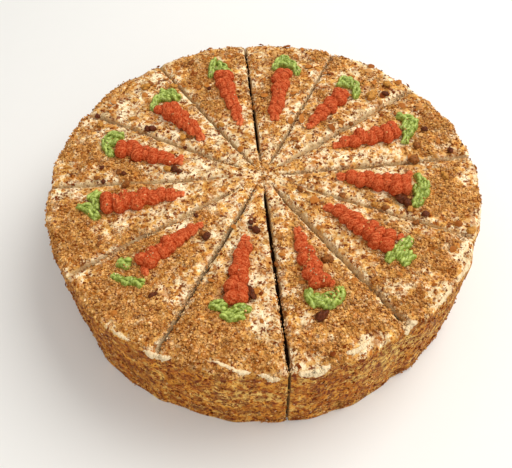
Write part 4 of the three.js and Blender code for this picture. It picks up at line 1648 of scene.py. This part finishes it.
class CAKE_OT_leaves(bpy.types.Operator):
    """Pipe the ruffled green leaves round each carrot's shoulder"""

    bl_idname = "cake.leaves"
    bl_label = "Pipe the Leaves"

    def execute(self, context):
        piping = context.scene.cake_piping
        # the second colour is the painted highlight on the ridges and grains
        cream = piping_material("green cream", "leaf", "leaf_highlight", 1.4 * MM, 0.36, 0.4, 0.2 * MM)
        bumps = ((3.6 * MM, 0.5 * MM), (1.3 * MM, 0.12 * MM))
        for index in range(PORTIONS):
            name = f"piped_leaves_{index + 1:02d}"
            dabs, detail = leaf_dabs(index, piping), piping.detail * 0.9
            mesh = piped_skin(name, dabs, 0.08, 60 + index, detail, cream)
            finish_skin(mesh, bumps, 700 + 10 * index, 1.0 * MM)
            ride(new_object(name, mesh, cream), "green_cream", f"leaves_{index + 1:02d}")
        return {"FINISHED"}


class CAKE_OT_dusting(bpy.types.Operator):
    """Let a few crumbs fall on the carrots and leaves"""

    bl_idname = "cake.dusting"
    bl_label = "Dust the Piping"

    def execute(self, context):
        scene, name = context.scene, "fallen_crumbs"
        crumbs, kinds = scene.cake_crumbs, ("piped_carrot_", "piped_leaves_")
        piped = [piece for piece in scene.objects if piece.name.startswith(kinds)]
        if not piped:
            raise RuntimeError("The carrots and leaves have to be piped first")
        bed = bmesh.new()
        for piece in piped:
            bed.from_mesh(piece.data)
        mesh = bpy.data.meshes.new(name)
        bed.to_mesh(mesh)
        bed.free()
        points, normals = vertex_array(mesh), vertex_array(mesh, normals=True)
        cover = ease(normals[:, 2], 0.3, 0.8) * (0.02 + 0.8 * spots(points, DUSTED))
        add_field(mesh, "dusted", np.clip(cover, 0, 1))
        small, large, *shape = FALLEN
        sizes = small * crumbs.size, large * crumbs.size
        scatter(name, mesh, "fallen crumb", "dusted", FALLEN_DENSITY, sizes, *shape, crumbs.seed)
        return {"FINISHED"}


CAMERA_PLACE = (-0.004656, -0.253072, 0.339763)
CAMERA_RIGHT = (0.99977, -0.01709, -0.01285)
CAMERA_UP = (0.02139, 0.79907, 0.60085)
CAMERA_AHEAD = (0.0, 0.60099, -0.79926)
CAMERA_LENS = 43.34  # millimetres
CAMERA_SENSOR = 36.0  # millimetres
FLOOR_REACH = 12.0  # metres each way
LIGHT_COLOUR = (1.0, 0.97, 0.92)
SKY_COLOUR = (1.0, 0.985, 0.96, 1)
SKY_STRENGTH = 0.55

# The area lights, aimed at the origin: name, place, size and power.
LIGHTS = (
    ("key light", (0.62, 0.3, 1.0), 0.9, 12.0),
    ("fill light", (0.1, -1.0, 0.8), 1.0, 3.5),
)


class CAKE_OT_stage(bpy.types.Operator):
    """Set out the floor, the soft lights and the camera"""

    bl_idname = "cake.stage"
    bl_label = "Set the Stage"

    def execute(self, context):
        scene = context.scene
        scene.view_settings.view_transform = "Standard"
        signs = ((-1, -1), (1, -1), (1, 1), (-1, 1))
        corners = [(x * FLOOR_REACH, y * FLOOR_REACH, 0) for x, y in signs]
        plane = mesh_from("studio_floor", corners, [[0, 1, 2, 3]])
        floor = new_object("studio_floor", plane, floor_material())
        floor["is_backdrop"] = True

        world = bpy.data.worlds.new("soft room")
        world.use_nodes = True
        sky = world.node_tree.nodes["Background"]
        sky.inputs["Color"].default_value = SKY_COLOUR
        sky.inputs["Strength"].default_value = SKY_STRENGTH
        scene.world = world

        for name, place, size, power in LIGHTS:
            lamp = bpy.data.lights.new(name, "AREA")
            lamp.size = size
            lamp.energy = power
            lamp.color = LIGHT_COLOUR
            light = bpy.data.objects.new(name, lamp)
            light.location = place
            light.rotation_euler = (-Vector(place)).to_track_quat("-Z", "Y").to_euler()
            scene.collection.objects.link(light)

        camera = bpy.data.objects.new("camera", bpy.data.cameras.new("camera"))
        camera.data.lens = CAMERA_LENS
        camera.data.sensor_width = CAMERA_SENSOR
        turned = Matrix((CAMERA_RIGHT, CAMERA_UP, -Vector(CAMERA_AHEAD))).transposed()
        camera.matrix_world = Matrix.Translation(CAMERA_PLACE) @ turned.to_4x4()
        scene.collection.objects.link(camera)
        scene.camera = camera
        return {"FINISHED"}


class CAKE_PT_panel(bpy.types.Panel):
    """The cake's settings and its operators"""

    bl_label = "Carrot Cake"
    bl_idname = "CAKE_PT_panel"
    bl_space_type = "VIEW_3D"
    bl_region_type = "UI"
    bl_category = "Cake"

    def draw(self, context):
        for settings in ("cake_form", "cake_crumbs", "cake_piping", "cake_colours"):
            box = self.layout.box()
            group = getattr(context.scene, settings)
            for name in group.bl_rna.properties.keys():
                if name not in ("rna_type", "name"):
                    box.prop(group, name)
        for operator in OPERATORS:
            self.layout.operator(operator.bl_idname)


SETTINGS = (
    ("cake_form", CakeForm),
    ("cake_crumbs", CakeCrumbs),
    ("cake_piping", CakePiping),
    ("cake_colours", CakeColours),
)
OPERATORS = (
    CAKE_OT_coat,
    CAKE_OT_crumbs,
    CAKE_OT_nuts,
    CAKE_OT_carrots,
    CAKE_OT_leaves,
    CAKE_OT_dusting,
    CAKE_OT_stage,
)


def register():
    for name, group in SETTINGS:
        bpy.utils.register_class(group)
        setattr(bpy.types.Scene, name, PointerProperty(type=group))
    for operator in (*OPERATORS, CAKE_PT_panel):
        bpy.utils.register_class(operator)


def unregister():
    for operator in reversed((*OPERATORS, CAKE_PT_panel)):
        bpy.utils.unregister_class(operator)
    for name, group in reversed(SETTINGS):
        delattr(bpy.types.Scene, name)
        bpy.utils.unregister_class(group)


def main():
    register()
    bpy.ops.cake.coat()
    bpy.ops.cake.crumbs()
    bpy.ops.cake.nuts()
    bpy.ops.cake.carrots()
    bpy.ops.cake.leaves()
    bpy.ops.cake.dusting()
    bpy.ops.cake.stage()
    boxes = {"cad": CAD_BOUNDS, "visual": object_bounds()}
    plain = {name: [list(corner) for corner in box] for name, box in boxes.items()}


if __name__ == "__main__":
    main()
